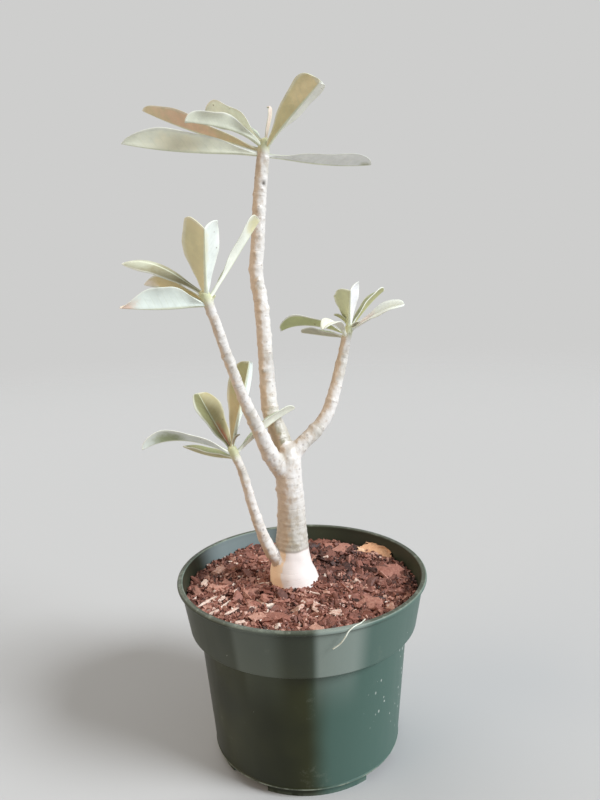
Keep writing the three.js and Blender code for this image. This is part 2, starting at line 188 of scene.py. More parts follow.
def swing(tree, value, reach):
    # a value from 0 to 1, turned about zero
    return times(tree, minus(tree, value, 0.5), reach)


def vectorCalc(tree, operation, first, second=(0, 0, 0)):
    node = addNode(tree, "VectorMath", {0: first, 1: second}, operation=operation)
    return node.outputs[1 if operation in ("DOT_PRODUCT", "DISTANCE", "LENGTH") else 0]


def facing(tree, way):
    # 1 where the surface faces the way, 0 where it stands square to it
    return vectorCalc(tree, "DOT_PRODUCT", addNode(tree, "NewGeometry").outputs["Normal"], way)


def eased(tree, value, low, high):
    limits = {"Value": value, "From Min": low, "From Max": high}
    return addNode(tree, "MapRange", limits, interpolation_type="SMOOTHSTEP").outputs[0]


def blended(tree, share, first, second, blend="MIX"):
    sockets = {0: share, 6: first, 7: second}
    return addNode(tree, "Mix", sockets, data_type="RGBA", blend_type=blend, clamp_factor=True).outputs[2]


def painted(tree, colour, shade, mask, strength=1.0):
    # the shade laid over the colour where the mask is
    return blended(tree, times(tree, mask, strength), colour, tint(shade))


def noiseAt(tree, place, scale, detail=2.0, roughness=0.5):
    sockets = {"Vector": place, "Scale": scale, "Detail": detail, "Roughness": roughness}
    return addNode(tree, "TexNoise", sockets).outputs["Fac"]


def blotches(tree, place, scale, detail, roughness, low, high):
    # a noise with its contrast drawn out: nothing up to low, and all of it from high
    return eased(tree, noiseAt(tree, place, scale, detail, roughness), low, high)


def attribute(tree, name):
    return addNode(tree, "Attribute", attribute_name=name).outputs["Fac"]


def newGroup(name, inputs, outputs):
    tree = bpy.data.node_groups.new(name, "ShaderNodeTree")
    for label, value in inputs.items():
        kind = {float: "NodeSocketFloat", tuple: "NodeSocketColor"}.get(type(value), "NodeSocketVector")
        socket = tree.interface.new_socket(label, in_out="INPUT", socket_type=kind)
        if value is not None:
            socket.default_value = value
    for label, kind in outputs.items():
        tree.interface.new_socket(label, in_out="OUTPUT", socket_type="NodeSocket" + kind)
    return tree, tree.nodes.new("NodeGroupInput").outputs, tree.nodes.new("NodeGroupOutput").inputs


def newMaterial(name):
    material = bpy.data.materials.new(name)
    material.use_nodes = True
    tree = material.node_tree
    return material, tree, tree.nodes["Principled BSDF"].inputs, addNode(tree, "TexCoord").outputs["Object"]


def finish(tree, shader, colour, roughness, height, relief):
    feed(tree, shader["Base Color"], colour)
    feed(tree, shader["Roughness"], roughness)
    bump = addNode(tree, "Bump", {"Height": height, "Distance": relief * mm, "Strength": 1.0})
    feed(tree, shader["Normal"], bump.outputs["Normal"])


effectSetup = {
    "smallestSpeck": 0.4, "speckEdge": (1.0, 0.5),
    "fibre": (3.0, 0.6),  # detail and roughness
    "cloudScale": 0.18,
}


def makeSpecks():
    # round spots of uneven size: Share is how many of the cells hold one
    inputs = {"Place": None, "Scale": 400.0, "Share": 0.2, "Size": 0.25}
    tree, given, out = newGroup("specks", inputs, {"Mask": "Float"})
    cells = addNode(tree, "TexVoronoi", {"Vector": given["Place"], "Scale": given["Scale"]})
    held, uneven, _ = addNode(tree, "SeparateColor", {"Color": cells.outputs["Color"]}).outputs
    size = times(tree, given["Size"], plus(tree, uneven, effectSetup["smallestSpeck"]))
    inside = eased(tree, calc(tree, "DIVIDE", cells.outputs["Distance"], size), *effectSetup["speckEdge"])
    feed(tree, out["Mask"], times(tree, calc(tree, "LESS_THAN", held, given["Share"]), inside))
    return tree


def makeGrain():
    # fine fibres that run along Z, with a cloudy mottle under them
    inputs = {"Place": None, "Scale": 500.0, "Stretch": 0.3}
    tree, given, out = newGroup("grain", inputs, {"Fibre": "Float", "Cloud": "Float"})
    along = addNode(tree, "CombineXYZ", {0: 1.0, 1: 1.0, 2: given["Stretch"]}).outputs[0]
    drawn = vectorCalc(tree, "MULTIPLY", given["Place"], along)
    feed(tree, out["Fibre"], noiseAt(tree, drawn, given["Scale"], *effectSetup["fibre"]))
    cloudScale = times(tree, given["Scale"], effectSetup["cloudScale"])
    feed(tree, out["Cloud"], noiseAt(tree, given["Place"], cloudScale))
    return tree


specksGroup, grainGroup = makeSpecks(), makeGrain()


def speckMask(tree, place, scale, share, size):
    sockets = {"Place": place, "Scale": scale, "Share": share, "Size": size}
    return addNode(tree, "Group", sockets, node_tree=specksGroup).outputs["Mask"]


def grainOf(tree, place, scale, stretch):
    # the fibre and the cloud
    sockets = {"Place": place, "Scale": scale, "Stretch": stretch}
    return addNode(tree, "Group", sockets, node_tree=grainGroup).outputs


def meshFrom(bm, name):
    mesh = bpy.data.meshes.new(name)
    bm.to_mesh(mesh)
    bm.free()
    return mesh


def newPiece(bm, name, material, replaced=(), sharp=40):
    mesh = meshFrom(bm, name)
    mesh.shade_smooth()
    if sharp:
        mesh.set_sharp_from_angle(angle=math.radians(sharp))
    mesh.materials.append(material)
    piece = newObject(name, mesh)
    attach(piece, "root")
    if replaced:
        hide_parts(*replaced)
    return piece


def afterModifier(bm, kind, **settings):
    # the bmesh as one modifier leaves it
    carrier = newObject("carrier", meshFrom(bm, "carrier"))
    modifier = carrier.modifiers.new(kind, kind)
    for name, value in settings.items():
        setattr(modifier, name, value)
    bpy.context.view_layer.update()
    shaped = bpy.data.meshes.new_from_object(carrier.evaluated_get(bpy.context.evaluated_depsgraph_get()))
    bpy.data.objects.remove(carrier)
    made = bmesh.new()
    made.from_mesh(shaped)
    bpy.data.meshes.remove(shaped)
    return made


def curvePoint(before, start, end, after, share):
    # centripetal Catmull-Rom between start and end
    spans = ((before, start), (start, end), (end, after))
    first, second, third = (math.sqrt((far - near).length) for near, far in spans)
    leave = ((start - before) / first - (end - before) / (first + second) + (end - start) / second) * second
    arrive = ((end - start) / second - (after - start) / (second + third) + (after - end) / third) * second
    bend = 3 * (end - start) - 2 * leave - arrive
    return start + leave * share + bend * share ** 2 + (2 * (start - end) + leave + arrive) * share ** 3


def centreLine(line, step, cuts=24):
    # even samples along a line of [x, y, z, radius]: place, radius, way and distance from its start
    knots = [Vector(point[:3]) for point in line]
    knots = [2 * knots[0] - knots[1], *knots, 2 * knots[-1] - knots[-2]]
    dense = []
    for number in range(len(line) - 1):
        for cut in range(cuts):
            place = curvePoint(*knots[number:number + 4], cut / cuts)
            dense.append((place, mixed(line[number][3], line[number + 1][3], cut / cuts)))
    dense.append((knots[-2], line[-1][3]))
    reach = [0.0]
    for (before, _), (after, _) in zip(dense, dense[1:]):
        reach.append(reach[-1] + (after - before).length)
    count = max(2, round(reach[-1] / step))
    samples, cursor = [], 0
    for number in range(count + 1):
        along = reach[-1] * number / count
        while cursor < len(reach) - 2 and reach[cursor + 1] < along:
            cursor += 1
        share = (along - reach[cursor]) / (reach[cursor + 1] - reach[cursor])
        place = dense[cursor][0].lerp(dense[cursor + 1][0], share)
        radius = mixed(dense[cursor][1], dense[cursor + 1][1], share)
        samples.append({"place": place, "radius": radius, "along": along})
    orient(samples)
    return samples


def orient(samples):
    # each sample's way, and a turn that doesn't spin about it
    for number, sample in enumerate(samples):
        before, after = samples[max(0, number - 1)], samples[min(len(samples) - 1, number + 1)]
        sample["way"] = (after["place"] - before["place"]).normalized()
    turn = samples[0]["way"].to_track_quat("Z", "Y")
    for number, sample in enumerate(samples):
        if number:
            turn = samples[number - 1]["way"].rotation_difference(sample["way"]) @ turn
        sample["turn"] = turn.copy()


def domed(samples, rise=0.6, angles=(30, 55, 75)):
    # more samples, which close the end in a dome
    last, ends = samples[-1], []
    for angle in angles:
        lift = math.sin(math.radians(angle)) * last["radius"] * rise
        radius = last["radius"] * math.cos(math.radians(angle))
        ends.append({**last, "place": last["place"] + last["way"] * lift, "radius": radius})
    return samples + ends


def stationAt(sample):
    radius = sample["radius"] * mm
    scale = Matrix.Diagonal((radius, radius, radius, 1))
    return Matrix.Translation(at(*sample["place"])) @ sample["turn"].to_matrix().to_4x4() @ scale


def vertsOf(parts):
    return [part for part in parts if isinstance(part, bmesh.types.BMVert)]


def sweep(bm, samples, sides):
    # a closed tube: one ring, drawn on from sample to sample
    ring = bmesh.ops.create_circle(bm, cap_ends=False, radius=1, segments=sides)["verts"]
    edges = list({edge for vert in ring for edge in vert.link_edges})
    bmesh.ops.transform(bm, matrix=stationAt(samples[0]), verts=ring)
    bmesh.ops.edgeloop_fill(bm, edges=edges)
    for before, after in zip(samples, samples[1:]):
        made = bmesh.ops.extrude_edge_only(bm, edges=edges)["geom"]
        ring = set(vertsOf(made))
        edges = [part for part in made
                 if isinstance(part, bmesh.types.BMEdge) and ring.issuperset(part.verts)]
        bmesh.ops.transform(bm, matrix=stationAt(after) @ stationAt(before).inverted(), verts=list(ring))
    bmesh.ops.edgeloop_fill(bm, edges=edges)


potSetup = {
    # the profile from the foot up over the lip, as in the solids
    "height": 121.7, "lipRadius": 82.5, "lipHeight": 3.0, "lipInnerRadius": 79.0,
    "collarTopRadius": 80.3, "collarFootRadius": 75.4, "collarFootZ": 89.0,
    "bodyTopRadius": 69.4, "bodyTopZ": 88.0, "bodyFootRadius": 62.8, "wall": 1.5,
    "floorZ": 5.8, "floorThickness": 1.6, "bead": 0.4, "beadHeight": 1.3,
    "footOuter": 60.5, "footInner": 57.5, "footFlare": 0.6, "footCount": 4, "footSpan": 62, "footTurn": -84,
    "overlap": 0.4, "drainRadius": 6, "drainCircle": 51, "steps": 192, "footSteps": 24, "drainSides": 32,
    "beadSlope": (0.1, 0.3), "lipSlope": 0.4,
    # colours: litTeal is painted light, inner and reflectionGrey are painted reflections, and
    # wearAndHighlight is both wear and a painted highlight
    "olive": (48, 50, 24), "deep": (34, 37, 17), "litTeal": (72, 97, 88), "reflectionGrey": (138, 148, 140),
    "wearAndHighlight": (150, 156, 140), "dust": (214, 216, 208), "inner": (116, 128, 128),
    # the shares of fibre, the painted lit side and dust come on top of the roughness
    "roughness": 0.28, "roughShares": (0.16, 0.10, 0.4), "specular": 0.24, "relief": 0.04,
    # a grain is its scale and its stretch, and a pair says where a mask starts and where it is full
    "grain": (120, 0.12), "mottle": (0.35, 0.7), "streaks": (0.35, 0.55),
    "lightSide": (0.966, -0.259, 0.0), "paintedLight": (0.25, 0.5), "lightStray": 0.10,  # painted light: the side turned to the key light is painted a paler teal
    "innerSide": (0.62, -0.785, 0.0), "innerReflection": (0.84, 0.95),  # painted reflection: inside, only a narrow band turned to the light is paler
    "innerZ": (100, 104), "inwards": -0.02,
    "reflectionBands": [(5, 24, 0.85), (-31, -13, 0.24)],  # painted reflections, paler parts of the collar: bearings, strength
    "stretchEdges": (2, 7, 3), "runOutZ": (54, 88), "runOut": 0.35, "collarSheen": 0.09,
    "lipWornZ": (1.2, 0.2), "lipWearAndHighlight": (0.25, 0.3, 0.14),  # where lit (a painted highlight), where chipped (wear), and all round (a painted highlight)
    "footWornZ": (3.2, 0.8), "footWear": 0.15, "beadCore": 0.2, "beadHighlight": 0.5, "beadStreak": 0.4,
    # blotches are scale, detail, roughness and a pair, and specks are scale, share and size
    "chips": (160, 4, 0.7, 0.48, 0.62), "scuffs": (45, 6, 0.75, 0.60, 0.74), "scuffWear": 0.16,
    "scratchSpot": (61, -27, 58), "scratchReach": (46, 13.8), "scratches": (400, 0.28, 0.27),
    "scratchTurn": (0.5, 0.3, 0.0), "scratchStretch": (1.0, 1.0, 0.65),
    "specks": (220, 0.025, 0.09), "dustShare": 0.8,
}


def potMaterial():
    setup = potSetup
    material, tree, shader, place = newMaterial("potPlastic")
    fibre, cloud = grainOf(tree, place, *setup["grain"])
    local = addNode(tree, "Mapping", {"Vector": place, "Location": tuple(-potMiddle)}).outputs[0]
    x, y, z = addNode(tree, "SeparateXYZ", {"Vector": local}).outputs

    def above(low, high):
        return eased(tree, z, low * mm, high * mm)

    inside = times(tree, eased(tree, facing(tree, local), 0.0, setup["inwards"]), above(*setup["innerZ"]))
    outside = minus(tree, 1.0, inside)
    # painted light: the outside turned to the light is a paler teal, and a narrow band inside is a painted
    # reflection
    paintedLight = plus(tree, facing(tree, setup["lightSide"]), swing(tree, cloud, setup["lightStray"]))
    paintedLight = times(tree, eased(tree, paintedLight, *setup["paintedLight"]), outside)
    innerReflection = eased(tree, facing(tree, setup["innerSide"]), *setup["innerReflection"])
    paintedLight = plus(tree, paintedLight, times(tree, inside, innerReflection))
    colour = painted(tree, tint(setup["deep"]), setup["olive"], eased(tree, cloud, *setup["mottle"]))
    colour = blended(tree, paintedLight, colour, painted(tree, tint(setup["litTeal"]), setup["inner"], inside))

    # painted reflections: paler stretches of the collar, which run out a little way down the body
    collarFoot, (blend, trailOut, trailIn) = setup["collarFootZ"], setup["stretchEdges"]
    bearing = times(tree, calc(tree, "ARCTAN2", x, times(tree, y, -1.0)), 180 / math.pi)
    runOut = times(tree, above(*setup["runOutZ"]), setup["runOut"])
    collar = calc(tree, "MINIMUM", plus(tree, above(collarFoot - 1, collarFoot + 1), runOut), 1.0)
    for start, end, strength in setup["reflectionBands"]:
        starts = eased(tree, bearing, start - blend, start + blend)
        ends = eased(tree, bearing, end + trailOut, end - trailIn)
        colour = painted(tree, colour, setup["reflectionGrey"], times(tree, starts, ends, collar, outside), strength)
    # painted sheen: a pale band round the foot of the collar
    collar = above(collarFoot - 1, collarFoot + 2)
    colour = painted(tree, colour, setup["reflectionGrey"], collar, setup["collarSheen"])

    # wear on the lip, the foot and scuffs, and a painted highlight on the lip and along the bead
    lipLow, lipHigh = (setup["height"] - down for down in setup["lipWornZ"])
    onLit, onChips, allRound = setup["lipWearAndHighlight"]
    chips = times(tree, blotches(tree, place, *setup["chips"]), onChips)
    lip = times(tree, above(lipLow, lipHigh), plus(tree, times(tree, paintedLight, onLit), chips, allRound))
    streaks = eased(tree, fibre, *setup["streaks"])
    foot = times(tree, above(*setup["footWornZ"]), streaks, setup["footWear"])
    # painted highlight: a pale line along the bead at the body's foot
    half = setup["beadHeight"] / 2
    bead = calc(tree, "ABSOLUTE", minus(tree, z, (setup["floorZ"] + half) * mm))
    bead = eased(tree, bead, half * mm, setup["beadCore"] * mm)
    bead = times(tree, bead, plus(tree, streaks, setup["beadStreak"]), setup["beadHighlight"])
    scuffs = times(tree, blotches(tree, place, *setup["scuffs"]), setup["scuffWear"])
    colour = painted(tree, colour, setup["wearAndHighlight"], calc(tree, "MAXIMUM", lip, foot, bead, scuffs))

    # dust, and scratches on one side
    away = vectorCalc(tree, "DISTANCE", local, tuple(side * mm for side in setup["scratchSpot"]))
    near = eased(tree, away, *(reach * mm for reach in setup["scratchReach"]))
    slant = {"Vector": place, "Rotation": setup["scratchTurn"], "Scale": setup["scratchStretch"]}
    scratches = speckMask(tree, addNode(tree, "Mapping", slant).outputs[0], *setup["scratches"])
    dust = calc(tree, "MAXIMUM", speckMask(tree, place, *setup["specks"]), times(tree, scratches, near))
    colour = painted(tree, colour, setup["dust"], dust, setup["dustShare"])
    rough = (times(tree, mask, share) for mask, share in zip((fibre, paintedLight, dust), setup["roughShares"]))
    finish(tree, shader, colour, plus(tree, setup["roughness"], *rough), fibre, setup["relief"])
    shader["Specular IOR Level"].default_value = setup["specular"]
    return material


def spinRound(bm, geometry, steps, degrees=360, start=0):
    if start:
        bmesh.ops.rotate(bm, verts=vertsOf(geometry), matrix=Matrix.Rotation(math.radians(start), 3, "Z"))
    bmesh.ops.spin(bm, geom=geometry, axis=(0, 0, 1), cent=(0, 0, 0), angle=math.radians(degrees),
                   steps=steps, use_merge=degrees == 360)


def turned(corners, steps):
    # a closed skin spun from corners of radius, height and, where a corner is rounded, its rounding
    bm = bmesh.new()
    verts = [bm.verts.new((corner[0] * mm, 0, corner[1] * mm)) for corner in corners]
    for first, second in zip(verts, verts[1:]):
        bm.edges.new((first, second))
    for vert, corner in zip(verts, corners):
        for rounding in corner[2:]:
            bmesh.ops.bevel(bm, geom=[vert], offset=rounding * mm, offset_type="OFFSET", segments=4,
                            profile=0.5, affect="VERTICES", material=-1)
    spinRound(bm, bm.verts[:] + bm.edges[:], steps)
    bmesh.ops.remove_doubles(bm, verts=bm.verts[:], dist=0.01 * mm)
    bmesh.ops.recalc_face_normals(bm, faces=bm.faces[:])
    return bm


def makePotShell():
    setup, wall = potSetup, potSetup["wall"]
    lipFoot = setup["height"] - setup["lipHeight"]
    floorTop = setup["floorZ"] + setup["floorThickness"]
    beadRadius, beadTop = setup["bodyFootRadius"] + setup["bead"], setup["floorZ"] + setup["beadHeight"]
    slopeOut, slopeUp = setup["beadSlope"]
    return turned([  # radius, height and rounding of each corner
        (0, setup["floorZ"]),
        (beadRadius, setup["floorZ"], 0.5),
        (beadRadius, beadTop, 0.4),
        (setup["bodyFootRadius"] + slopeOut, beadTop + slopeUp, 0.2),
        (setup["bodyTopRadius"], setup["bodyTopZ"], 0.6),
        (setup["collarFootRadius"], setup["collarFootZ"], 0.9),
        (setup["collarTopRadius"], lipFoot, 0.6),
        (setup["lipRadius"], lipFoot + setup["lipSlope"], 1.1),
        (setup["lipRadius"], setup["height"], 1.3),
        (setup["lipInnerRadius"], setup["height"], 0.9),
        (setup["collarTopRadius"] - wall, lipFoot, 0.5),
        (setup["collarFootRadius"] - wall, setup["collarFootZ"] + wall, 0.8),
        (setup["bodyTopRadius"] - wall, setup["bodyTopZ"] + wall, 0.6),
        (setup["bodyFootRadius"] - wall, floorTop, 2.0),
        (0, floorTop),
    ], setup["steps"])


def addFeet(bm):
    setup = potSetup
    inner, outer, top = setup["footInner"], setup["footOuter"], setup["floorZ"] + setup["overlap"]
    for number in range(setup["footCount"]):
        start = setup["footTurn"] + 360 / setup["footCount"] * number - setup["footSpan"] / 2
        corners = ((inner, 0), (outer, 0), (outer + setup["footFlare"], top), (inner, top))
        face = bm.faces.new([bm.verts.new((radius * mm, 0, z * mm)) for radius, z in corners])
        spinRound(bm, [face, *face.edges, *face.verts], setup["footSteps"], setup["footSpan"], start)


def drainCutter():
    setup, bm = potSetup, bmesh.new()
    radius = setup["drainRadius"] * mm
    for number in range(setup["footCount"]):
        way = heading(setup["footTurn"] + 360 / setup["footCount"] * (number + 0.5), 0)
        spot = way * setup["drainCircle"] * mm + Vector((0, 0, setup["floorZ"] * mm))
        bmesh.ops.create_cone(bm, cap_ends=True, segments=setup["drainSides"], radius1=radius, radius2=radius,
                              depth=setup["floorZ"] * 2 * mm, matrix=Matrix.Translation(spot))
    return newObject("drainCutter", meshFrom(bm, "drainCutter"))


def makePot():
    cutter = drainCutter()
    bm = afterModifier(makePotShell(), "BOOLEAN", operation="DIFFERENCE", object=cutter, solver="EXACT")
    bpy.data.objects.remove(cutter)
    addFeet(bm)
    bmesh.ops.translate(bm, verts=bm.verts[:], vec=potMiddle)
    return newPiece(bm, "potBody", potMaterial(), ["pot"], sharp=50)


makePot()
print("pot made")

stemSetup = {
    "limbs": {  # the points of each centre line, with the radius there
        "trunk": [
            (-5, -1, 78, 5), (-5, -1, 92, 12.5), (-4.8, -1, 104, 17.3), (-4.9, -1, 112.3, 16.9),
            (-6.3, -1, 122.5, 14.9), (-6.1, -1, 133, 11.9), (-5.8, -1, 143, 10.5), (-5.5, -1, 156, 9.4),
            (-5.5, -1, 171, 8.8), (-6.2, -1, 186, 8.6), (-5.8, 0, 199, 8), (-5.8, 0.5, 204, 6),
        ],
        "top": [
            (-5.5, 1, 194, 7), (-11.7, 8, 213.8, 5.9), (-16.7, 12, 226.6, 5.7), (-18.5, 16, 254, 5),
            (-20.3, 20, 296.5, 4.6), (-22.8, 21.5, 318, 4.5), (-21, 22, 337, 4.5), (-18.5, 23, 365, 4.3),
            (-15.2, 24, 391, 4), (-13.8, 24, 399, 3.3),
        ],
        "left": [
            (-7, 0, 186, 7), (-16.7, -8, 202.8, 5.4), (-22.8, -15, 219.7, 4.5), (-31.8, -26, 246, 3.4),
            (-38.4, -35, 270.6, 3.1), (-44, -43, 293.4, 2.9), (-48.4, -46.5, 308, 2.9),
        ],
        "right": [
            (-6, 1, 199, 6.4), (3.6, 4, 207.7, 4.9), (12.7, 8, 215.4, 4.6), (20.7, 12, 225.8, 4.3),
            (30.7, 21, 256, 3.7), (35.4, 25, 274.5, 3.1), (37.5, 25.5, 281, 2.9),
        ],
        "low": [
            (-8, -3, 126, 6), (-16.5, -6, 133, 4.6), (-22.7, -8, 145.3, 3.9), (-29.6, -11, 169.4, 3.2),
            (-35.2, -13, 194.7, 2.8), (-40.9, -14.5, 210.5, 2.9),
        ],
    },
    "stubs": [  # dry leaf stalks, each from inside its shoot
        [(-46.6, -45.2, 301, 1.3), (-44.2, -45.6, 303.6, 1.0), (-42.2, -45.8, 306.2, 0.75)],
        [(36.4, 25.4, 277.4, 1.3), (38.8, 23.9, 279.6, 1.0), (40.2, 23.4, 281.4, 0.8)],
    ],
    "step": 1.0, "sides": 48, "stubStep": 0.6, "stubSides": 12, "voxel": 0.58,
    "joints": [  # where limbs meet: places, reach and smoothing passes
        ([(-6, 0, 199), (-10, -3, 196), (-5, 1, 203), (-12, -4, 131)], 11, 14),
        ([(-15.5, -5.5, 127.5)], 8.5, 50),
    ],
    "passes": 3,  # over all of it
    "scarStep": 3.6, "scarTurn": 137.5, "scarSize": 1.35, "scarStretch": 1.35, "scarFace": 0.42,
    "scarSpread": (0.75, 0.6), "scarDepth": 0.3,
    "scarHeight": {"trunk": 0.3, "top": 0.8, "left": 0.62, "right": 0.66, "low": 0.5},
    "roughSide": 3.0,  # the trunk's knobs stand prouder at the left
    "barkLine": 139, "barkWander": (1.6, 0.14), "barkFade": (1.5, 1),  # below it the skin is smooth
    "lowBark": (7.5, 10.5), "topGrey": (14, 52),  # along the shoot
    "trunkGrey": (142, 190, 0.6),  # heights and strength
    "young": (10, 2), "youngEase": 0.5,  # how far from a shoot's end
    "rings": [  # limb, distance along it, height, half width
        ("trunk", 61.4, 0.3, 0.9), ("trunk", 65.5, 0.5, 1.2), ("trunk", 68.5, 0.4, 0.9),
        ("trunk", 73, 0.3, 1.0), ("trunk", 79, 0.3, 0.8), ("trunk", 88, 0.35, 1.2), ("trunk", 97, 0.3, 1.0),
        ("top", 40, 0.5, 1.5), ("top", 66, 0.45, 1.5), ("top", 104, 0.6, 1.6), ("top", 131, 0.55, 1.6),
        ("top", 168, 0.5, 1.4), ("left", 24, 0.5, 1.6), ("left", 60, 0.4, 1.4), ("left", 92, 0.4, 1.3),
        ("right", 25, 0.8, 2.2), ("right", 48, 0.45, 1.4), ("right", 74, 0.45, 1.3),
        ("low", 16, 0.4, 1.4), ("low", 44, 0.35, 1.3), ("low", 70, 0.35, 1.2),
    ],
    "ringRise": 0.6,
    "pits": [(35.6, 18.6, 266.4, 1.5), (32.6, 17.4, 261, 1.2), (-15.0, 19.4, 372.8, 1.7)],  # and reach
    "pitDepth": 0.6,
    "bumps": [(0.25, 0.35), (0.1, 1.1)], "skinBump": (0.35, 0.16),  # height and scale
    # colours
    "cream": (229, 220, 211), "tan": (184, 164, 140), "bleached": (235, 234, 231), "olive": (150, 144, 118),
    "pink": (245, 234, 227), "shadePeach": (255, 222, 186), "warm": (208, 176, 142), "scar": (238, 232, 222),
    "hollow": (116, 94, 84), "pit": (52, 42, 32), "fresh": (206, 210, 160), "line": (118, 104, 84),
    "layers": [  # colour, where it lies and how strongly, from the lowest up
        ("tan", "patches", 0.5), ("bleached", "sunned", 0.6), ("olive", "green", 0.35),
        ("olive", "weathered", 1.0), ("scar", "scar", 0.7), ("hollow", "hollow", 0.6),
        ("hollow", "flecks", 0.35), ("line", "ring", 0.26), ("warm", "tanned", 1.0),
    ],
    "edgeShare": 0.42, "freshShare": 0.8, "fibreShare": 0.4,
    "roughness": 0.42, "relief": 0.22, "ringRelief": 0.3, "grain": (420, 0.25),
    "patches": (210, 4, 0.6, 0.44, 0.68), "green": (60, 3, 0.5, 0.5, 0.7), "flecks": (330, 0.2, 0.30),
    "ringNoise": (0.9, 2.0), "ringEdge": (0.60, 0.72), "ringBreaks": (200, 2, 0.5, 0.42, 0.6),
    # painted light on one side of the stem, and painted warm shade on the other
    "lightSide": (0.94, -0.34, 0.0), "sunned": (0.1, 0.8), "litStray": 0.35, "litOverGrey": 0.45,
    "shadeSide": (-0.93, -0.36, 0.0), "warmShade": (0.1, 0.70, 0.79), "tanned": (0.15, 0.36, 0.74),
    "tanShare": (0.86, 0.38),
}
limbs = {name: centreLine(line, stemSetup["step"]) for name, line in stemSetup["limbs"].items()}


def nearestSample(trees, point):
    # the limb whose skin lies nearest, and the sample on it
    best = None
    for name, tree in trees.items():
        _, number, distance = tree.find(point)
        depth = distance - limbs[name][number]["radius"]
        if best is None or depth < best[0]:
            best = (depth, name, limbs[name][number])
    return best[1], best[2]


def scarAt(along, angle, radius, seed):
    # height of the knobs round old leaf scars, and how far inside a scar's face the place is
    setup, height, face = stemSetup, 0.0, 0.0
    step, size, (level, spread) = setup["scarStep"], setup["scarSize"], setup["scarSpread"]
    nearest = round(along / step)
    for scar in (nearest - 1, nearest, nearest + 1):
        stray = noise.noise((scar * 3.1, seed * 7.7, 0.5))
        across = math.remainder(angle - math.radians(scar * setup["scarTurn"]) - seed - stray, 2 * math.pi)
        across = across * radius / (size * setup["scarStretch"])
        gap = math.hypot((along - scar * step - stray) / size, across)
        height = max(height, math.exp(-gap * gap) * (level + spread * stray))
        face = max(face, math.exp(-(gap / setup["scarFace"]) ** 2))
    return height, face


def shapeStem(bm):
    setup, trees = stemSetup, {}
    for name, samples in limbs.items():
        tree = kdtree.KDTree(len(samples))
        for number, sample in enumerate(samples):
            tree.insert(sample["place"], number)
        tree.balance()
        trees[name] = tree
    layerNames = ("scar", "hollow", "bark", "young", "pit", "grey", "along")
    layers = [bm.verts.layers.float.new(name) for name in layerNames]
    seeds = {name: number for number, name in enumerate(limbs)}
    bm.normal_update()
    moves = []
    for vert in bm.verts:
        point = (vert.co - potMiddle) / mm
        name, sample = nearestSample(trees, point)
        local = sample["turn"].inverted() @ (point - sample["place"])
        angle, along = math.atan2(local.y, local.x), sample["along"] + local.z
        knob, face = scarAt(along, angle, sample["radius"], seeds[name])
        end, rise = limbs[name][-1]["along"], setup["scarHeight"][name]
        young = smooth(along, *(end - down for down in setup["young"]))
        bark, grey, rough = 1.0, 0.0, 1.0
        if name == "trunk":
            (wander, scale), (below, over) = setup["barkWander"], setup["barkFade"]
            line = setup["barkLine"] + wander * noise.noise(point * scale)
            bark = smooth(point.z, line - below, line + over)
            low, high, share = setup["trunkGrey"]
            grey = share * (1 - smooth(point.z, low, high))
            rough += setup["roughSide"] * max(0.0, -vert.normal.x)
            young = 0.0
        elif name == "low":
            bark = smooth(along, *setup["lowBark"])
        elif name == "top":
            grey = 1 - smooth(along, *setup["topGrey"])
        height = knob * rise * (1 - setup["youngEase"] * young) * rough - face * setup["scarDepth"] * rise
        for limb, where, lift, reach in setup["rings"]:
            if limb == name:
                height += lift * setup["ringRise"] * math.exp(-((along - where) / reach) ** 2)
        height += sum(lift * noise.noise(point * scale) for lift, scale in setup["bumps"])
        pit = max(math.exp(-((point - Vector(spot[:3])).length / spot[3]) ** 2) for spot in setup["pits"])
        lift, scale = setup["skinBump"]
        height = height * bark + lift * (1 - bark) * noise.noise(point * scale) - setup["pitDepth"] * pit
        moves.append(vert.normal * height * mm)
        for layer, value in zip(layers, (knob * bark, face * bark, bark, young, pit, grey, along)):
            vert[layer] = value
    for vert, move in zip(bm.verts, moves):
        vert.co += move


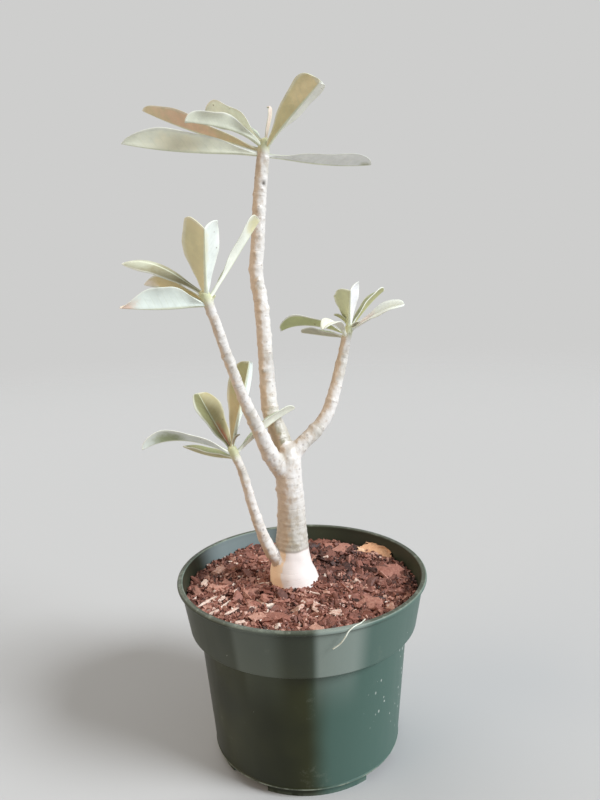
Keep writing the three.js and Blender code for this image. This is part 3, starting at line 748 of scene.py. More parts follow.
def stemMaterial():
    setup = stemSetup
    material, tree, shader, place = newMaterial("stemBark")
    fibre, cloud = grainOf(tree, place, *setup["grain"])
    masks = {name: attribute(tree, name) for name in ("scar", "hollow", "bark", "young", "pit")}
    masks.update({name: blotches(tree, place, *setup[name]) for name in ("patches", "green")})
    masks["flecks"] = speckMask(tree, place, *setup["flecks"])
    patches, bark = masks["patches"], masks["bark"]

    # painted light: the side turned to the light is paler; painted warm shade on the other side; and greyer
    # on the trunk below the forks and at the top shoot's base
    sunned = minus(tree, facing(tree, setup["lightSide"]), times(tree, patches, setup["litStray"]))
    masks["sunned"] = eased(tree, sunned, *setup["sunned"])
    paler = minus(tree, 1.0, times(tree, masks["sunned"], setup["litOverGrey"]))
    masks["weathered"] = times(tree, attribute(tree, "grey"), paler)
    towards = facing(tree, setup["shadeSide"])
    for name in ("warmShade", "tanned"):
        stray, low, high = setup[name]
        masks[name] = eased(tree, plus(tree, towards, times(tree, patches, stray)), low, high)
    most, clouded = setup["tanShare"]
    masks["tanned"] = times(tree, masks["tanned"], minus(tree, most, times(tree, cloud, clouded)))

    # thin rings round each limb, broken here and there
    scale, detail = setup["ringNoise"]
    ring = {"W": attribute(tree, "along"), "Scale": scale, "Detail": detail}
    ring = addNode(tree, "TexNoise", ring, noise_dimensions="1D").outputs["Fac"]
    breaks = blotches(tree, place, *setup["ringBreaks"])
    masks["ring"] = times(tree, eased(tree, ring, *setup["ringEdge"]), breaks)

    colour = tint(setup["cream"])
    for shade, mask, strength in setup["layers"]:
        colour = painted(tree, colour, setup[shade], masks[mask], strength)
    # painted warm shade: below the bark the smooth skin is peach on the side away from the light
    skin = painted(tree, tint(setup["pink"]), setup["shadePeach"], masks["warmShade"])
    colour = blended(tree, bark, skin, colour)
    barkEdge = times(tree, bark, minus(tree, 1.0, bark), 4.0)
    colour = painted(tree, colour, setup["line"], barkEdge, setup["edgeShare"])
    colour = painted(tree, colour, setup["fresh"], masks["young"], setup["freshShare"])
    fibres = times(tree, fibre, bark, setup["fibreShare"])
    colour = blended(tree, fibres, colour, tint(setup["cream"]), "MULTIPLY")
    colour = painted(tree, colour, setup["pit"], masks["pit"])
    height = minus(tree, times(tree, fibre, bark), times(tree, masks["ring"], setup["ringRelief"]))
    finish(tree, shader, colour, setup["roughness"], height, setup["relief"])
    return material


def relax(bm, verts, passes):
    for _ in range(passes):
        bmesh.ops.smooth_vert(bm, verts=verts, factor=0.5, use_axis_x=True, use_axis_y=True, use_axis_z=True)


def makeStem():
    setup, bm = stemSetup, bmesh.new()
    for samples in limbs.values():
        sweep(bm, domed(samples), setup["sides"])
    for line in setup["stubs"]:
        sweep(bm, domed(centreLine(line, setup["stubStep"])), setup["stubSides"])
    bmesh.ops.recalc_face_normals(bm, faces=bm.faces[:])
    bm = afterModifier(bm, "REMESH", mode="VOXEL", voxel_size=setup["voxel"] * mm)
    for places, reach, passes in setup["joints"]:
        centres = [at(*place) for place in places]
        near = [vert for vert in bm.verts
                if min((vert.co - centre).length for centre in centres) < reach * mm]
        relax(bm, near, passes)
    relax(bm, bm.verts[:], setup["passes"])
    shapeStem(bm)
    return newPiece(bm, "stemBody", stemMaterial(), ["stem"], sharp=0)


makeStem()
print("stem made")

# As in the solids: down is how far below the shoot's end the stalk starts; azimuth, rise and length
# aim the line from root to tip; riseOut and riseIn are the midrib's slopes at its ends; roll turns
# the blade and twist turns its tip on; fold lifts its halves; peak is where it is widest; tip blunts
# its end, and lobes and corners carry a broad end's corners past the midrib or back; kink narrows one
# half, and ripple and ragged trouble the edge. minus and plus are the colours under the two halves,
# with painted light and shade in them, paler on a half that faces the light.
leafTable = {
    "top": [
        dict(down=8, azimuth=191, rise=4, length=87, riseOut=1, riseIn=12, width=28, roll=-16, fold=45,
             peak=0.66, minus=(252, 253, 232), plus=(244, 246, 220), margin=0.9, patch=(240, 234, 206),
             patchAt=(0.62, -0.3), patchSize=(0.2, 0.5)),
        dict(down=6, azimuth=162, rise=21, length=90, riseOut=17, riseIn=28, width=23, roll=-20, fold=35,
             peak=0.74, minus=(222, 204, 166), plus=(212, 202, 162), tip=0.62, patch=(228, 192, 164),
             patchAt=(0.6, -0.35), patchSize=(0.26, 0.9)),
        dict(down=4.5, azimuth=212, rise=12, length=54, riseOut=32, riseIn=2, width=18, roll=-20, fold=35,
             peak=0.7, minus=(232, 234, 214), plus=(222, 224, 198), margin=0.7, ripple=2.4),
        dict(down=2.5, azimuth=142, rise=26, length=54, riseOut=43, riseIn=-4, width=20, roll=-26, fold=30,
             peak=0.74, minus=(240, 248, 236), plus=(232, 242, 228), margin=0.9, upper=(200, 208, 178),
             ripple=2.4),
        dict(down=6, azimuth=-36, rise=37, length=55, riseOut=41, riseIn=38, width=27, roll=10, fold=22,
             peak=0.84, minus=(252, 250, 240), plus=(224, 208, 156), ragged=1.8, patch=(244, 222, 172),
             patchAt=(0.84, 0.35), patchSize=(0.2, 0.5)),
        dict(down=8, azimuth=7, rise=-6, length=70, riseOut=-12, riseIn=4, width=23, roll=10, fold=20,
             peak=0.74, minus=(242, 242, 240), plus=(242, 242, 238), kink=(-1, 0.56, 0.4),
             patch=(158, 158, 118), patchAt=(0.95, -0.5), patchSize=(0.07, 0.8)),
        dict(down=1, azimuth=0, rise=84, length=21, riseOut=74, riseIn=205, width=7.5, roll=0, fold=30,
             peak=0.6, minus=(232, 214, 200), plus=(226, 206, 192)),
    ],
    "left": [
        dict(down=7, azimuth=198, rise=0, length=48, riseOut=-10, riseIn=8, width=28, roll=-20, fold=50,
             peak=0.52, minus=(240, 248, 238), plus=(206, 210, 184), patch=(228, 194, 172),
             patchAt=(1.0, -0.2), patchSize=(0.16, 1.2)),
        # painted sheen: the pale patch near this leaf's tip
        dict(down=2, azimuth=173, rise=22, length=50, riseOut=37, riseIn=-14, width=15, roll=25, fold=-20,
             peak=0.72, minus=(168, 156, 116), plus=(172, 162, 124), margin=0.9, upper=(170, 164, 134),
             tip=0.8, patch=(196, 197, 174), patchAt=(0.88, 0.0), patchSize=(0.26, 1.4)),
        dict(down=5, azimuth=149, rise=12, length=47, riseOut=18, riseIn=6, width=18, roll=-36, fold=20,
             peak=0.72, minus=(220, 200, 150), plus=(204, 192, 142), margin=0.8, tip=1.0,
             patch=(234, 222, 208), patchAt=(0.94, 0.0), patchSize=(0.16, 1.2)),
        dict(down=2.5, azimuth=-79, rise=58, length=42, riseOut=50, riseIn=64, width=30, roll=-7, fold=47,
             peak=0.72, lobes=(5.5, 1.5), corners=(3, 1), minus=(234, 238, 230), plus=(228, 214, 170),
             patch=(214, 204, 160), patchAt=(0.7, 0.5), patchSize=(0.3, 0.7)),
        dict(down=5, azimuth=26, rise=52, length=55, riseOut=48, riseIn=52, width=21, roll=20, fold=25,
             peak=0.84, minus=(224, 226, 202), plus=(242, 243, 228), patch=(214, 206, 160),
             patchAt=(0.96, 0.0), patchSize=(0.14, 1.0)),
    ],
    "right": [
        dict(down=5, azimuth=174, rise=3, length=45, riseOut=16, riseIn=-26, width=22, roll=-10, fold=35,
             peak=0.78, minus=(196, 202, 146), plus=(188, 192, 140), margin=1.0, tip=0.5),
        dict(down=7, azimuth=142, rise=2, length=38, riseOut=-4, riseIn=4, width=16, roll=-10, fold=30,
             peak=0.72, minus=(190, 186, 160), plus=(184, 180, 152), margin=0.9, tip=0.6),
        dict(down=8, azimuth=-119, rise=13, length=36, riseOut=46, riseIn=-30, width=11, roll=14, fold=28,
             peak=0.66, minus=(232, 230, 212), plus=(224, 222, 200), upper=(226, 224, 208)),
        dict(down=2.5, azimuth=-89, rise=58, length=30, riseOut=54, riseIn=60, width=28, roll=-8, fold=52,
             peak=0.74, lobes=(-3, 0.8), corners=(2, 0), minus=(240, 238, 238), plus=(206, 207, 166)),
        dict(down=2, azimuth=33, rise=38, length=39, riseOut=40, riseIn=30, width=16, roll=20, fold=30,
             peak=0.7, minus=(186, 184, 140), plus=(178, 176, 124), margin=1.0),
        dict(down=3.5, azimuth=-27, rise=23, length=42, riseOut=24, riseIn=8, width=17, roll=-28, fold=16,
             peak=0.76, minus=(246, 249, 244), plus=(240, 244, 236), tip=0.6, upper=(222, 226, 212),
             patch=(226, 210, 200), patchAt=(0.34, 0.0), patchSize=(0.16, 1.0)),
        dict(down=1, azimuth=199, rise=39, length=14, riseOut=60, riseIn=20, width=6, roll=0, fold=30,
             peak=0.7, minus=(178, 176, 130), plus=(170, 168, 124)),
        dict(down=2, azimuth=-35, rise=33, length=9, riseOut=20, riseIn=50, width=5, roll=0, fold=30,
             peak=0.7, minus=(190, 184, 160), plus=(170, 164, 140)),
    ],
    "low": [
        dict(down=5, azimuth=194, rise=9, length=57, riseOut=32, riseIn=-26, width=20, roll=-10, twist=-26,
             fold=25, peak=0.78, minus=(230, 234, 224), plus=(212, 218, 202), margin=1.0, tip=0.6,
             patch=(148, 155, 110), patchAt=(0.72, 0.0), patchSize=(0.17, 0.75)),
        dict(down=6, azimuth=147, rise=2, length=44, riseOut=-12, riseIn=14, width=18, roll=-10, fold=25,
             peak=0.6, minus=(190, 180, 132), plus=(184, 178, 130), margin=0.7),
        dict(down=3.8, azimuth=141, rise=50, length=47, riseOut=44, riseIn=56, width=23, roll=0, fold=15,
             peak=0.76, minus=(134, 130, 90), plus=(198, 184, 138), margin=0.5, upperShare=0.15,
             patch=(206, 124, 98), patchAt=(0.26, 0.0), patchSize=(0.24, 0.4)),
        dict(down=0.4, azimuth=-4, rise=76, length=56, riseOut=77, riseIn=79, width=24, roll=60, fold=50,
             peak=0.74, minus=(238, 246, 240), plus=(192, 172, 126), patch=(170, 168, 120),
             patchAt=(0.9, 0.4), patchSize=(0.3, 0.7)),
        dict(down=4, azimuth=26, rise=29, length=49, riseOut=32, riseIn=20, width=22, roll=20, fold=25,
             peak=0.72, minus=(238, 242, 222), plus=(244, 246, 230), tip=0.6, ragged=1.0),
        dict(down=0.5, azimuth=-10, rise=61, length=11, riseOut=75, riseIn=20, width=4, roll=0, fold=40,
             peak=0.6, minus=(176, 158, 128), plus=(160, 142, 112)),
    ],
}
leafSetup = {
    "rows": 44, "columns": 20, "crowding": 1.2,
    "petioleWidth": 2.6, "petioleThickness": 1.7, "petioleEnd": 0.24, "stalkFold": 0.5,
    "thickness": 0.9, "edgeThinning": 0.5, "narrowing": 0.3, "tipWidth": 0.7, "swell": 1.2,
    "cup": 9, "bow": 0.36,
    "lobeStart": 0.6, "lobedEnd": 0.85, "cornerStart": 0.65, "raggedStart": 0.82, "twistStart": 0.2,
    "wave": 0.7, "waveCount": 2.3, "waveTurn": 1.7, "waveWidth": 30, "edgeWander": 0.5,
    "ribBlend": 0.12, "keel": 0.75, "keelWidth": (1.5, 0.7), "groove": 0.4, "grooveWidth": 0.8,
    "kinkEdge": (0.03, 0.05),
    # colours
    "midrib": (226, 229, 202), "vein": (205, 212, 178), "edge": (238, 238, 224), "speck": (120, 96, 66),
    "cloud": (130, 4, 0.65), "fine": (900, 3), "clouded": (0.35, 0.7), "coverGaps": 0.6,
    "stainRagged": 1.6, "stainEdge": (1.4, 0.4), "stainShare": 0.9, "halfBlend": 0.05,
    "veinCount": 13, "veinSweep": 1.7, "veinStray": 0.5, "veinPower": 26, "veinEnd": (0.95, 0.4),
    "veinShare": 0.13,
    "ribWidth": (0.13, 0.035), "ribEdge": (1.15, 0.6), "ribShare": 0.85,
    "edgeAcross": (0.80, 0.95), "edgeAlong": (0.965, 0.99),
    "mottle": {"From Min": 0.3, "From Max": 0.75, "To Min": 1.08, "To Max": 0.86},
    "specks": (260, 0.05, 0.16), "speckShare": 0.6,
    "roughness": 0.44, "fineRoughness": 0.18, "fineRelief": 0.35, "veinRelief": 0.2, "relief": 0.08,
    # and what a leaf's own row may change
    "upper": (138, 152, 100), "patch": (190, 176, 140), "patchAt": (5, 5), "patchSize": (0.1, 0.1),
    "margin": 0.4, "upperShare": 0.9,
}


def makeLeafSkin():
    # Map runs along the blade in X and across it in Y; Upper is 1 on the upper face
    setup, grey = leafSetup, (0.5, 0.5, 0.5, 1.0)
    tree, given, out = newGroup("leafSkin", {
        "Map": None, "Place": None, "Upper": 0.0, "Minus Painted Light": grey, "Plus Painted Light": grey, "Upper Colour": grey,
        "Patch": grey, "Patch Spot": None, "Patch Size": None, "Margin": 0.5, "Upper Share": 0.9,
    }, {"Colour": "Color", "Roughness": "Float", "Height": "Float"})
    along, across, _ = addNode(tree, "SeparateXYZ", {"Vector": given["Map"]}).outputs
    across = swing(tree, across, 2.0)
    fromRib = calc(tree, "ABSOLUTE", across)
    cloud = noiseAt(tree, given["Place"], *setup["cloud"])
    fine = noiseAt(tree, given["Place"], *setup["fine"])

    # a colour under each half, with painted light and shade in it, the upper face's colour over them, and one
    # patch: a stain, and on left_2 a painted sheen
    half = eased(tree, across, -setup["halfBlend"], setup["halfBlend"])
    colour = blended(tree, half, given["Minus Painted Light"], given["Plus Painted Light"])
    cover = minus(tree, 1.0, times(tree, eased(tree, cloud, *setup["clouded"]), setup["coverGaps"]))
    cover = times(tree, given["Upper"], given["Upper Share"], cover)
    colour = blended(tree, cover, colour, given["Upper Colour"])
    shift = vectorCalc(tree, "SUBTRACT", given["Map"], given["Patch Spot"])
    away = vectorCalc(tree, "LENGTH", vectorCalc(tree, "DIVIDE", shift, given["Patch Size"]))
    stain = eased(tree, plus(tree, away, swing(tree, cloud, setup["stainRagged"])), *setup["stainEdge"])
    colour = blended(tree, times(tree, stain, setup["stainShare"]), colour, given["Patch"])

    # side veins sweep forward from the midrib
    wave = minus(tree, times(tree, along, setup["veinCount"]), times(tree, fromRib, setup["veinSweep"]))
    wave = plus(tree, wave, times(tree, cloud, setup["veinStray"]))
    vein = calc(tree, "ABSOLUTE", calc(tree, "COSINE", times(tree, wave, math.pi)))
    vein = times(tree, calc(tree, "POWER", vein, setup["veinPower"]), eased(tree, fromRib, *setup["veinEnd"]))
    colour = painted(tree, colour, setup["vein"], vein, setup["veinShare"])

    # the midrib narrows to the tip, and the margin runs round it
    widening, atTip = setup["ribWidth"]
    ribWidth = plus(tree, times(tree, minus(tree, 1.0, along), widening), atTip)
    rib = eased(tree, calc(tree, "DIVIDE", fromRib, ribWidth), *setup["ribEdge"])
    colour = painted(tree, colour, setup["midrib"], rib, setup["ribShare"])
    edge = eased(tree, fromRib, *setup["edgeAcross"])
    edge = calc(tree, "MAXIMUM", edge, eased(tree, along, *setup["edgeAlong"]))
    colour = painted(tree, colour, setup["edge"], edge, given["Margin"])
    mottle = addNode(tree, "MapRange", {"Value": cloud, **setup["mottle"]}).outputs[0]
    colour = addNode(tree, "VectorMath", {0: colour, "Scale": mottle}, operation="SCALE").outputs[0]
    specks = speckMask(tree, given["Place"], *setup["specks"])
    colour = painted(tree, colour, setup["speck"], specks, setup["speckShare"])

    veinHeight = times(tree, vein, setup["veinRelief"])
    feed(tree, out["Colour"], colour)
    feed(tree, out["Roughness"], plus(tree, times(tree, fine, setup["fineRoughness"]), setup["roughness"]))
    feed(tree, out["Height"], plus(tree, times(tree, fine, setup["fineRelief"]), veinHeight))
    return tree


leafSkin = makeLeafSkin()


def leafMaterial(name, row):
    spec = {**leafSetup, **row}
    material, tree, shader, place = newMaterial(name)
    spot, size = spec["patchAt"], spec["patchSize"]
    skin = addNode(tree, "Group", {
        "Map": addNode(tree, "UVMap", uv_map="blade").outputs[0],
        "Place": place,
        "Upper": attribute(tree, "upper"),
        "Minus Painted Light": tint(spec["minus"]),
        "Plus Painted Light": tint(spec["plus"]),
        "Upper Colour": tint(spec["upper"]),
        "Patch": tint(spec["patch"]),
        "Patch Spot": (spot[0], 0.5 + spot[1] / 2, 0),
        "Patch Size": (size[0], size[1] / 2, 1),
        "Margin": spec["margin"],
        "Upper Share": spec["upperShare"],
    }, node_tree=leafSkin).outputs
    finish(tree, shader, skin["Colour"], skin["Roughness"], skin["Height"], spec["relief"])
    return material


def bladeWidth(share, spec):
    peak, swell = spec["peak"], leafSetup["swell"]
    if share >= peak and "lobes" in spec:
        past = (share - peak) / (1 - peak)
        full = 1 - (1 - leafSetup["lobedEnd"]) * past * past
    else:
        taper = swell * (1 - peak) / peak
        if share > peak:
            taper = max(taper, spec.get("tip", 0))
        full = (share / peak) ** swell * max(0.0, (1 - share) / (1 - peak)) ** taper
    narrowed = smooth(share, leafSetup["narrowing"], 1)
    least = mixed(leafSetup["petioleWidth"], leafSetup["tipWidth"], narrowed)
    return max(spec["width"] * full, least)


def leafPoint(spec, midrib, phase, share, across, upper):
    # a point on the blade: share runs from root to tip, across from -1 to 1
    setup = leafSetup
    place, ahead, level = midrib(share)
    above = level.cross(ahead)
    roll = math.radians(spec["roll"] + spec.get("twist", 0) * smooth(share, setup["twistStart"], 1))
    side = level * math.cos(roll) + above * math.sin(roll)
    normal = above * math.cos(roll) - level * math.sin(roll)
    opened = smooth(share, 0, setup["petioleEnd"])
    fold = math.radians(spec["fold"]) * mixed(setup["stalkFold"], 1, opened)
    cup = math.radians(setup["cup"])
    width, reach, hand = bladeWidth(share, spec), abs(across), math.copysign(1, across)
    kinkSide, kinkAt, kinkDepth = spec.get("kink", (0, 0.5, 0))
    if across * kinkSide > 0:
        before, after = setup["kinkEdge"]
        width *= 1 - kinkDepth * opened * (1 - smooth(share, kinkAt - before, kinkAt + after))

    # each half is folded up and cupped, so it runs out along an arc
    slope = fold + 2 * cup * (1 - 2 * reach)
    flat = (math.sin(fold + 2 * cup) - math.sin(slope)) / (4 * cup)
    lift = (math.cos(slope) - math.cos(fold + 2 * cup)) / (4 * cup)
    wave = math.sin(share * setup["waveCount"] * 2 * math.pi + phase)
    ripple = setup["wave"] * spec.get("ripple", 1) * spec["width"] / setup["waveWidth"] * opened * wave
    wander = setup["edgeWander"] * opened * reach ** 3 * noise.noise((share * 9, phase * 5 + hand, 0.3))
    outwards = side * (hand * (flat * width / 2 + wander))
    upwards = normal * (lift * width / 2 + ripple * hand * reach ** 3)

    # lobes, corners and a ragged end reach past the midrib's tip or fall short of it
    which, ending = (0 if across > 0 else 1), smooth(share, setup["lobeStart"], 1)
    lobe = spec.get("lobes", (0, 0))[which] * ending * reach
    start = setup["cornerStart"]
    lobe -= spec.get("corners", (0, 0))[which] * ending * max(0.0, (reach - start) / (1 - start)) ** 2
    tear = noise.noise((across * 2.6, 4.7, phase))
    lobe += spec.get("ragged", 0) * smooth(share, setup["raggedStart"], 1) * tear

    turn = max(-1.0, min(1.0, across / setup["ribBlend"]))
    outOfSkin = normal * math.cos(slope) - side * math.sin(slope) * turn
    fromRib = reach * width / 2
    depth = mixed(setup["petioleThickness"], setup["thickness"], opened) / 2
    depth *= 1 - setup["edgeThinning"] * reach ** 4
    if upper > 0.5:
        depth -= setup["groove"] * opened * (1 - share) * math.exp(-(fromRib / setup["grooveWidth"]) ** 2)
    else:
        keelWidth = mixed(*setup["keelWidth"], share)
        depth = -depth - setup["keel"] * (1 - share) * math.exp(-(fromRib / keelWidth) ** 2)
    return place + outwards + upwards + ahead * lobe + outOfSkin * depth


def midribOf(spec, root):
    turn, pull = spec["azimuth"], spec["length"] * leafSetup["bow"]
    tip = root + heading(turn, spec["rise"]) * spec["length"]
    first = root + heading(turn, spec["riseOut"]) * pull
    second = tip - heading(turn, spec["riseIn"]) * pull
    level = heading(turn - 90, 0)

    def midrib(share):
        rest = 1 - share
        place = root * rest ** 3 + first * 3 * rest ** 2 * share + second * 3 * rest * share ** 2
        place += tip * share ** 3
        ahead = (first - root) * rest ** 2 + (second - first) * 2 * rest * share + (tip - second) * share ** 2
        return place, ahead.normalized(), level

    return midrib


def leafRoot(name, down):
    samples = limbs[name]
    return samples[max(0, len(samples) - 1 - round(down / samples[1]["along"]))]["place"]


def makeLeaf(shoot, number, spec):
    bm = bmesh.new()
    bmesh.ops.create_grid(bm, x_segments=leafSetup["rows"], y_segments=leafSetup["columns"], size=0.5)
    lifted = bmesh.ops.extrude_face_region(bm, geom=bm.faces[:])["geom"]
    bmesh.ops.translate(bm, vec=(0, 0, 1), verts=vertsOf(lifted))
    bmesh.ops.recalc_face_normals(bm, faces=bm.faces[:])
    upper, blade = bm.verts.layers.float.new("upper"), bm.loops.layers.uv.new("blade")
    midrib, crowding = midribOf(spec, leafRoot(shoot, spec["down"])), leafSetup["crowding"]
    spots = {}
    for vert in bm.verts:
        share = 1 - (0.5 - vert.co.x) ** crowding
        across = math.copysign(abs(vert.co.y * 2) ** crowding, vert.co.y)
        vert[upper] = vert.co.z
        spots[vert] = (share, 0.5 + across / 2)
        vert.co = at(*leafPoint(spec, midrib, number * leafSetup["waveTurn"], share, across, vert.co.z))
    for face in bm.faces:
        for loop in face.loops:
            loop[blade].uv = spots[loop.vert]
    name = f"leaf_{shoot}_{number + 1}"
    replaced = [name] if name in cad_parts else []
    piece = newPiece(bm, f"blade_{shoot}_{number + 1}", leafMaterial(name, spec), replaced, sharp=0)
    rounding = piece.modifiers.new("rounding", "SUBSURF")
    rounding.levels = rounding.render_levels = 1


for shootName, rows in leafTable.items():
    for rowNumber, row in enumerate(rows):
        makeLeaf(shootName, rowNumber, row)
print("leaves made")

mixSetup = {
    "centreZ": 110.6, "edgeZ": 108.2, "clear": 0.4, "rings": 26, "steps": 120,
    "lump": 1.5, "lumpScale": 0.12, "lumpRow": 13.3, "plainRim": (1, 0.5),  # how high and how wide
    "mound": (-5, -1, 2.2, 18, 30),  # place, rise, and where it starts and stops falling away
    "seed": 7, "wallGap": 0.35, "spotGap": 0.5, "stemGap": 12.5, "turnStep": 137.508,
    "shake": (0.15, 3),  # of the angle and the radius
    "tone": (0.40, 0.18), "paintedHighlights": (0.10, 0.4),  # middle and spread; share of chips and lift
    "darkerBackRight": (0.10, -20, 60),  # to the back right: change, and where it starts and is full
    "tones": [(19, 14, 24, -0.17), (-50, -30, 26, 0.02), (24, 44, 28, -0.19)],  # place, reach, change
    "toneCore": 0.4,
    "ragged": 0.2, "rounding": (0.25, 0.7),  # ball and box
    "heaps": [  # doublings of one chip, its length, width and thickness, how far it tilts, its height
        {"name": "crumbs", "doublings": 13, "cuts": 0, "length": (0.9, 3.0), "width": (0.7, 1.9),
         "thickness": (0.5, 1.4), "tilt": 70, "rise": (0.8, 2.9)},
        {"name": "smallChips", "doublings": 11, "cuts": 0, "length": (2.8, 6.5), "width": (1.8, 4.0),
         "thickness": (0.8, 2.2), "tilt": 60, "rise": (0.0, 2.2)},
        {"name": "chips", "doublings": 8, "cuts": 1, "length": (5.5, 11), "width": (3.2, 7),
         "thickness": (1.4, 3.0), "tilt": 40, "rise": (0.2, 2.2)},
        {"name": "bigChips", "doublings": 4, "cuts": 1, "length": (9, 14), "width": (5, 8),
         "thickness": (2.2, 4.0), "tilt": 24, "rise": (0.6, 2.0)},
        {"name": "splinters", "doublings": 7, "cuts": 0, "length": (6, 13), "width": (0.9, 2.0),
         "thickness": (0.7, 1.5), "tilt": 22, "rise": (1.4, 3.0)},
    ],
    "flatChips": [  # place, length, width, thickness, turn, tilt and tone
        (61.5, 7.5, 14, 11, 2.6, 12, 30, 0.52), (42.5, -33.5, 12, 9, 2.6, -30, 16, 0.56),
        (-27.9, -45.9, 8, 6, 2.2, 35, 8, 0.72), (-60.5, -22.5, 12, 1.5, 1.2, 50, 0, 0.95),
        (-50.0, -29.0, 10, 1.4, 1.2, 55, 0, 0.95), (-44.0, -38.5, 9, 1.4, 1.2, 50, 0, 0.9),
        (-55.0, -38.0, 6, 1.4, 1.2, 44, 0, 0.9), (-52.0, -21.0, 5, 1.3, 1.2, 60, 0, 0.9),
        (-20.4, -33.9, 4.4, 3.2, 2.4, 10, 0, 1.0), (30.0, 52.0, 14, 8, 2.4, 70, 8, 0.58),
        (-66, 3, 7, 3, 1.6, 80, 0, 0.9), (-38, -52, 5, 3, 2, 20, 0, 0.9), (8, -62, 7, 5, 2, -20, 6, 0.75),
        (50, -52, 12, 9, 2.2, 35, -8, 0.6), (-58, 22, 9, 6, 2, 60, 5, 0.78), (20, -44, 6, 4, 2, 0, 5, 0.85),
    ],
    "paperyChips": [(55.5, 46.5, 20, 12, 1.1, -25, 22, 0.6), (48.0, 51.5, 9, 6, 1.0, 10, 10, 0.8)],
    "flatRise": 3.6,
    "mottle": (700, 4, 0.7), "mottleReach": 0.65, "stops": [(0.25, "brown"), (0.5, "red"), (0.78, "rose")],
    "roughness": 0.62, "grain": (900, 0.5), "relief": 0.3,
    # colours, from chips in painted shade to pale ones for painted highlights
    "bark": {"dark": (58, 34, 27), "brown": (118, 72, 58), "red": (150, 96, 80),
             "rose": (192, 144, 124), "pale": (232, 214, 198)},
    "papery": {"dark": (120, 74, 50), "brown": (170, 112, 76), "red": (206, 148, 106),
               "rose": (226, 180, 140), "pale": (246, 226, 200)},
    "gapShade": (52, 32, 26), "bedNoise": (500, 6, 0.75), "bedEdge": (0.4, 0.65),
    "bedRoughness": 0.95, "bedRelief": 1.0,
}


def soilHeight(radius):
    share = radius / (potSetup["collarFootRadius"] - potSetup["wall"])
    return mixed(mixSetup["centreZ"], mixSetup["edgeZ"], share * share)


def moundAt(x, y):
    # the mix is heaped a little round the stem's foot
    spotX, spotY, rise, start, end = mixSetup["mound"]
    return rise * (1 - smooth(math.hypot(x - spotX, y - spotY), start, end))


def wallInside(z):
    pot, foot = potSetup, potSetup["collarFootZ"]
    share = (z - foot) / (pot["height"] - pot["lipHeight"] - foot)
    return mixed(pot["collarFootRadius"], pot["collarTopRadius"], share) - pot["wall"]


def chipMaterial(name, shades):
    setup = mixSetup
    material, tree, shader, place = newMaterial(name)
    mottle = noiseAt(tree, place, *setup["mottle"])
    tone = plus(tree, attribute(tree, "tone"), swing(tree, mottle, setup["mottleReach"]))
    ramp = addNode(tree, "ValToRGB", {"Fac": tone})
    stops = ramp.color_ramp.elements
    for spot, shade in setup["stops"]:
        stops.new(spot).color = tint(shades[shade])
    stops[0].color, stops[-1].color = tint(shades["dark"]), tint(shades["pale"])
    fibre, _ = grainOf(tree, place, *setup["grain"])
    finish(tree, shader, ramp.outputs["Color"], setup["roughness"], fibre, setup["relief"])
    return material


def bedMaterial():
    setup = mixSetup
    material, tree, shader, place = newMaterial("soilBed")
    crumb = noiseAt(tree, place, *setup["bedNoise"])
    # painted shade: the bed is darker than any chip, as the shade in the gaps between them
    colour = painted(tree, tint(setup["gapShade"]), setup["bark"]["dark"], eased(tree, crumb, *setup["bedEdge"]))
    finish(tree, shader, colour, setup["bedRoughness"], crumb, setup["bedRelief"])
    return material


def makeBed():
    pot, setup, clear = potSetup, mixSetup, mixSetup["clear"]
    inset, floorTop = pot["wall"] + clear, pot["floorZ"] + pot["floorThickness"] + clear
    rim, (deep, wide) = wallInside(setup["edgeZ"]) - clear, setup["plainRim"]
    profile = [(0, floorTop), (pot["bodyFootRadius"] - inset, floorTop),
               (pot["bodyTopRadius"] - inset, pot["bodyTopZ"] + inset),
               (pot["collarFootRadius"] - inset, pot["collarFootZ"] + inset)]
    for number in range(setup["rings"] + 1):
        radius = rim * (1 - number / setup["rings"])
        profile.append((radius, soilHeight(radius)))
    bm = turned(profile, setup["steps"])
    for vert in bm.verts:
        if vert.co.z > (setup["edgeZ"] - deep) * mm and vert.co.xy.length < (rim - wide) * mm:
            lump = setup["lump"] * noise.noise(vert.co / mm * setup["lumpScale"])
            vert.co.z += (lump + moundAt(vert.co.x / mm, vert.co.y / mm)) * mm
    bmesh.ops.translate(bm, verts=bm.verts[:], vec=potMiddle)
    newPiece(bm, "soilBed", bedMaterial(), ["soil"])


def surfaceAt(x, y):
    scale = mixSetup["lumpScale"]
    lump = mixSetup["lump"] * noise.noise((x * scale, y * scale, mixSetup["lumpRow"]))
    return soilHeight(math.hypot(x, y)) + lump + moundAt(x, y)


def toneAt(x, y, draw):
    # darker towards the back right, with darker and paler spots, and a few chips made paler as painted
    # highlights
    setup = mixSetup
    darkerBackRight, start, end = setup["darkerBackRight"]
    tone = draw.gauss(*setup["tone"]) - darkerBackRight * smooth(x + y, start, end)
    for spotX, spotY, spread, change in setup["tones"]:
        core = spread * setup["toneCore"]
        tone += change * (1 - smooth(math.hypot(x - spotX, y - spotY), core, spread))
    # painted highlights: a share of the chips is made paler
    share, lift = setup["paintedHighlights"]
    if draw.random() < share:
        tone += lift
    return min(1.0, max(0.0, tone))


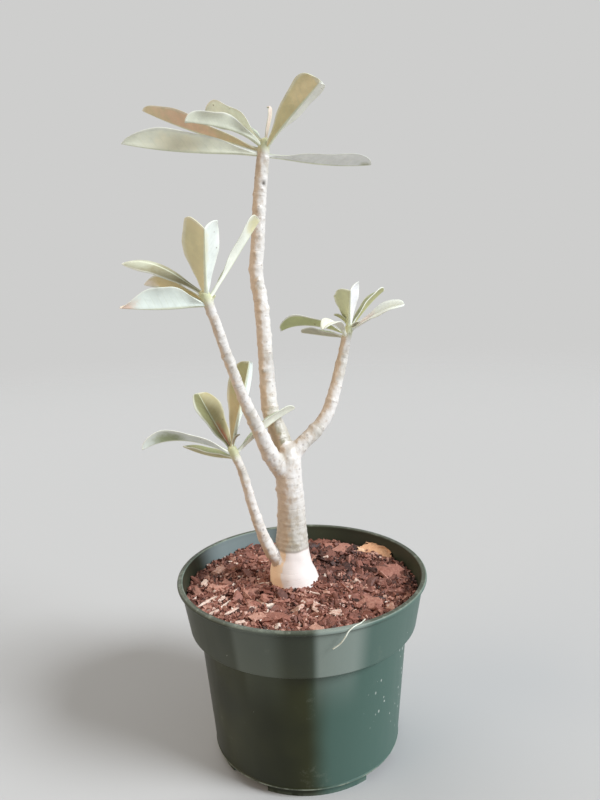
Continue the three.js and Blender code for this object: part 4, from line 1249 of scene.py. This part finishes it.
def strewn(heap, draw):
    # the place, size, turn and tone of each chip: spots by the sunflower rule, shaken a little
    setup, count = mixSetup, 2 ** heap["doublings"]
    reach = wallInside(setup["edgeZ"]) - setup["spotGap"] - heap["length"][0] / 2
    tilt, step = math.radians(heap["tilt"]), math.radians(setup["turnStep"])
    swerve, shift = setup["shake"]
    for number in range(count):
        radius = reach * math.sqrt((number + 0.5) / count)
        angle = number * step + draw.uniform(-swerve, swerve)
        radius = min(reach, max(setup["stemGap"], radius + draw.uniform(-shift, shift)))
        size = [draw.uniform(*heap[side]) for side in ("length", "width", "thickness")]
        turn = Euler((draw.uniform(-tilt, tilt), draw.uniform(-tilt, tilt), draw.uniform(0, 2 * math.pi)))
        x, y = radius * math.cos(angle), radius * math.sin(angle)
        tone = toneAt(x, y, draw)
        yield (x, y, surfaceAt(x, y) + draw.uniform(*heap["rise"])), size, turn, tone


def laid(chips):
    # the larger flat chips and slivers that lie on top
    for x, y, length, width, thickness, turn, tilt, tone in chips:
        angles = Euler((math.radians(tilt), 0, math.radians(turn)))
        yield (x, y, surfaceAt(x, y) + mixSetup["flatRise"]), (length, width, thickness), angles, tone


def makeHeap(name, cuts, chips, draw, material):
    # one cube, doubled until there is one for each chip, and each pulled into its own ragged shape
    bm = bmesh.new()
    bmesh.ops.create_cube(bm, size=1)
    if cuts:
        bmesh.ops.subdivide_edges(bm, edges=bm.edges[:], cuts=cuts, use_grid_fill=True)
    each, stray, (ball, box) = len(bm.verts), mixSetup["ragged"], mixSetup["rounding"]
    for _ in range(round(math.log2(len(chips)))):
        bmesh.ops.duplicate(bm, geom=bm.verts[:] + bm.edges[:] + bm.faces[:])
    tones = bm.verts.layers.float.new("tone")
    bm.verts.ensure_lookup_table()
    for number, (place, size, turn, tone) in enumerate(chips):
        matrix = Matrix.Translation(place) @ turn.to_matrix().to_4x4() @ Matrix.Diagonal((*size, 1))
        for vert in bm.verts[number * each:(number + 1) * each]:
            ragged = Vector([draw.uniform(-stray, stray) for _ in range(3)])
            spot = matrix @ (vert.co.normalized() * ball + vert.co * box + ragged)
            room = wallInside(spot.z) - mixSetup["wallGap"]
            if spot.xy.length > room:
                spot.xy *= room / spot.xy.length
            vert.co = at(*spot)
            vert[tones] = tone
    newPiece(bm, name, material, ["soil"], sharp=25)


fibreSetup = {
    "route": [(35.5, -70.0, 122.0), (32.5, -74.6, 122.2), (28.5, -78.2, 122.2), (25.4, -80.3, 120.6),
              (23.4, -80.9, 117.6), (20.6, -80.6, 113.6), (16.4, -79.9, 110.0)],
    "radii": (0.32, 0.42), "step": 0.6, "sides": 8, "pale": (228, 232, 220), "brown": (206, 204, 184),
    "mottle": (600, 3), "browned": (0.35, 0.7), "roughness": 0.7, "relief": 0.1,
}


def makeFibre():
    # a dry root that has caught on the rim
    setup, last = fibreSetup, len(fibreSetup["route"]) - 1
    line = [(*point, mixed(*setup["radii"], number / last)) for number, point in enumerate(setup["route"])]
    bm = bmesh.new()
    sweep(bm, centreLine(line, setup["step"]), setup["sides"])
    bmesh.ops.recalc_face_normals(bm, faces=bm.faces[:])
    material, tree, shader, place = newMaterial("dryRoot")
    mottle = noiseAt(tree, place, *setup["mottle"])
    colour = painted(tree, tint(setup["pale"]), setup["brown"], eased(tree, mottle, *setup["browned"]))
    finish(tree, shader, colour, setup["roughness"], mottle, setup["relief"])
    newPiece(bm, "rootFibre", material, ["soil"], sharp=0)


makeBed()
chance = random.Random(mixSetup["seed"])
barkSkin = chipMaterial("barkChips", mixSetup["bark"])
for heap in mixSetup["heaps"]:
    makeHeap(heap["name"], heap["cuts"], list(strewn(heap, chance)), chance, barkSkin)
makeHeap("flatChips", 2, list(laid(mixSetup["flatChips"])), chance, barkSkin)
paperySkin = chipMaterial("paperyBark", mixSetup["papery"])
makeHeap("paperyChips", 3, list(laid(mixSetup["paperyChips"])), chance, paperySkin)
makeFibre()
print("potting mix made")

floorSetup = {"size": 8000, "colour": (185, 184, 182), "roughness": 0.9, "fadeStart": 900, "fadeEnd": 2600}


def makeFloor():
    setup, bm = floorSetup, bmesh.new()
    bmesh.ops.create_grid(bm, x_segments=1, y_segments=1, size=setup["size"] / 2 * mm)
    bmesh.ops.translate(bm, verts=bm.verts[:], vec=potMiddle)
    material, tree, shader, place = newMaterial("floorPaint")
    shader["Base Color"].default_value = tint(setup["colour"])
    shader["Roughness"].default_value = setup["roughness"]
    away = vectorCalc(tree, "LENGTH", place)  # far off, the floor fades into the backdrop
    feed(tree, shader["Alpha"], eased(tree, away, setup["fadeEnd"] * mm, setup["fadeStart"] * mm))
    mesh = meshFrom(bm, "floor")
    mesh.materials.append(material)
    newObject("floor", mesh)


makeFloor()
print("floor made")
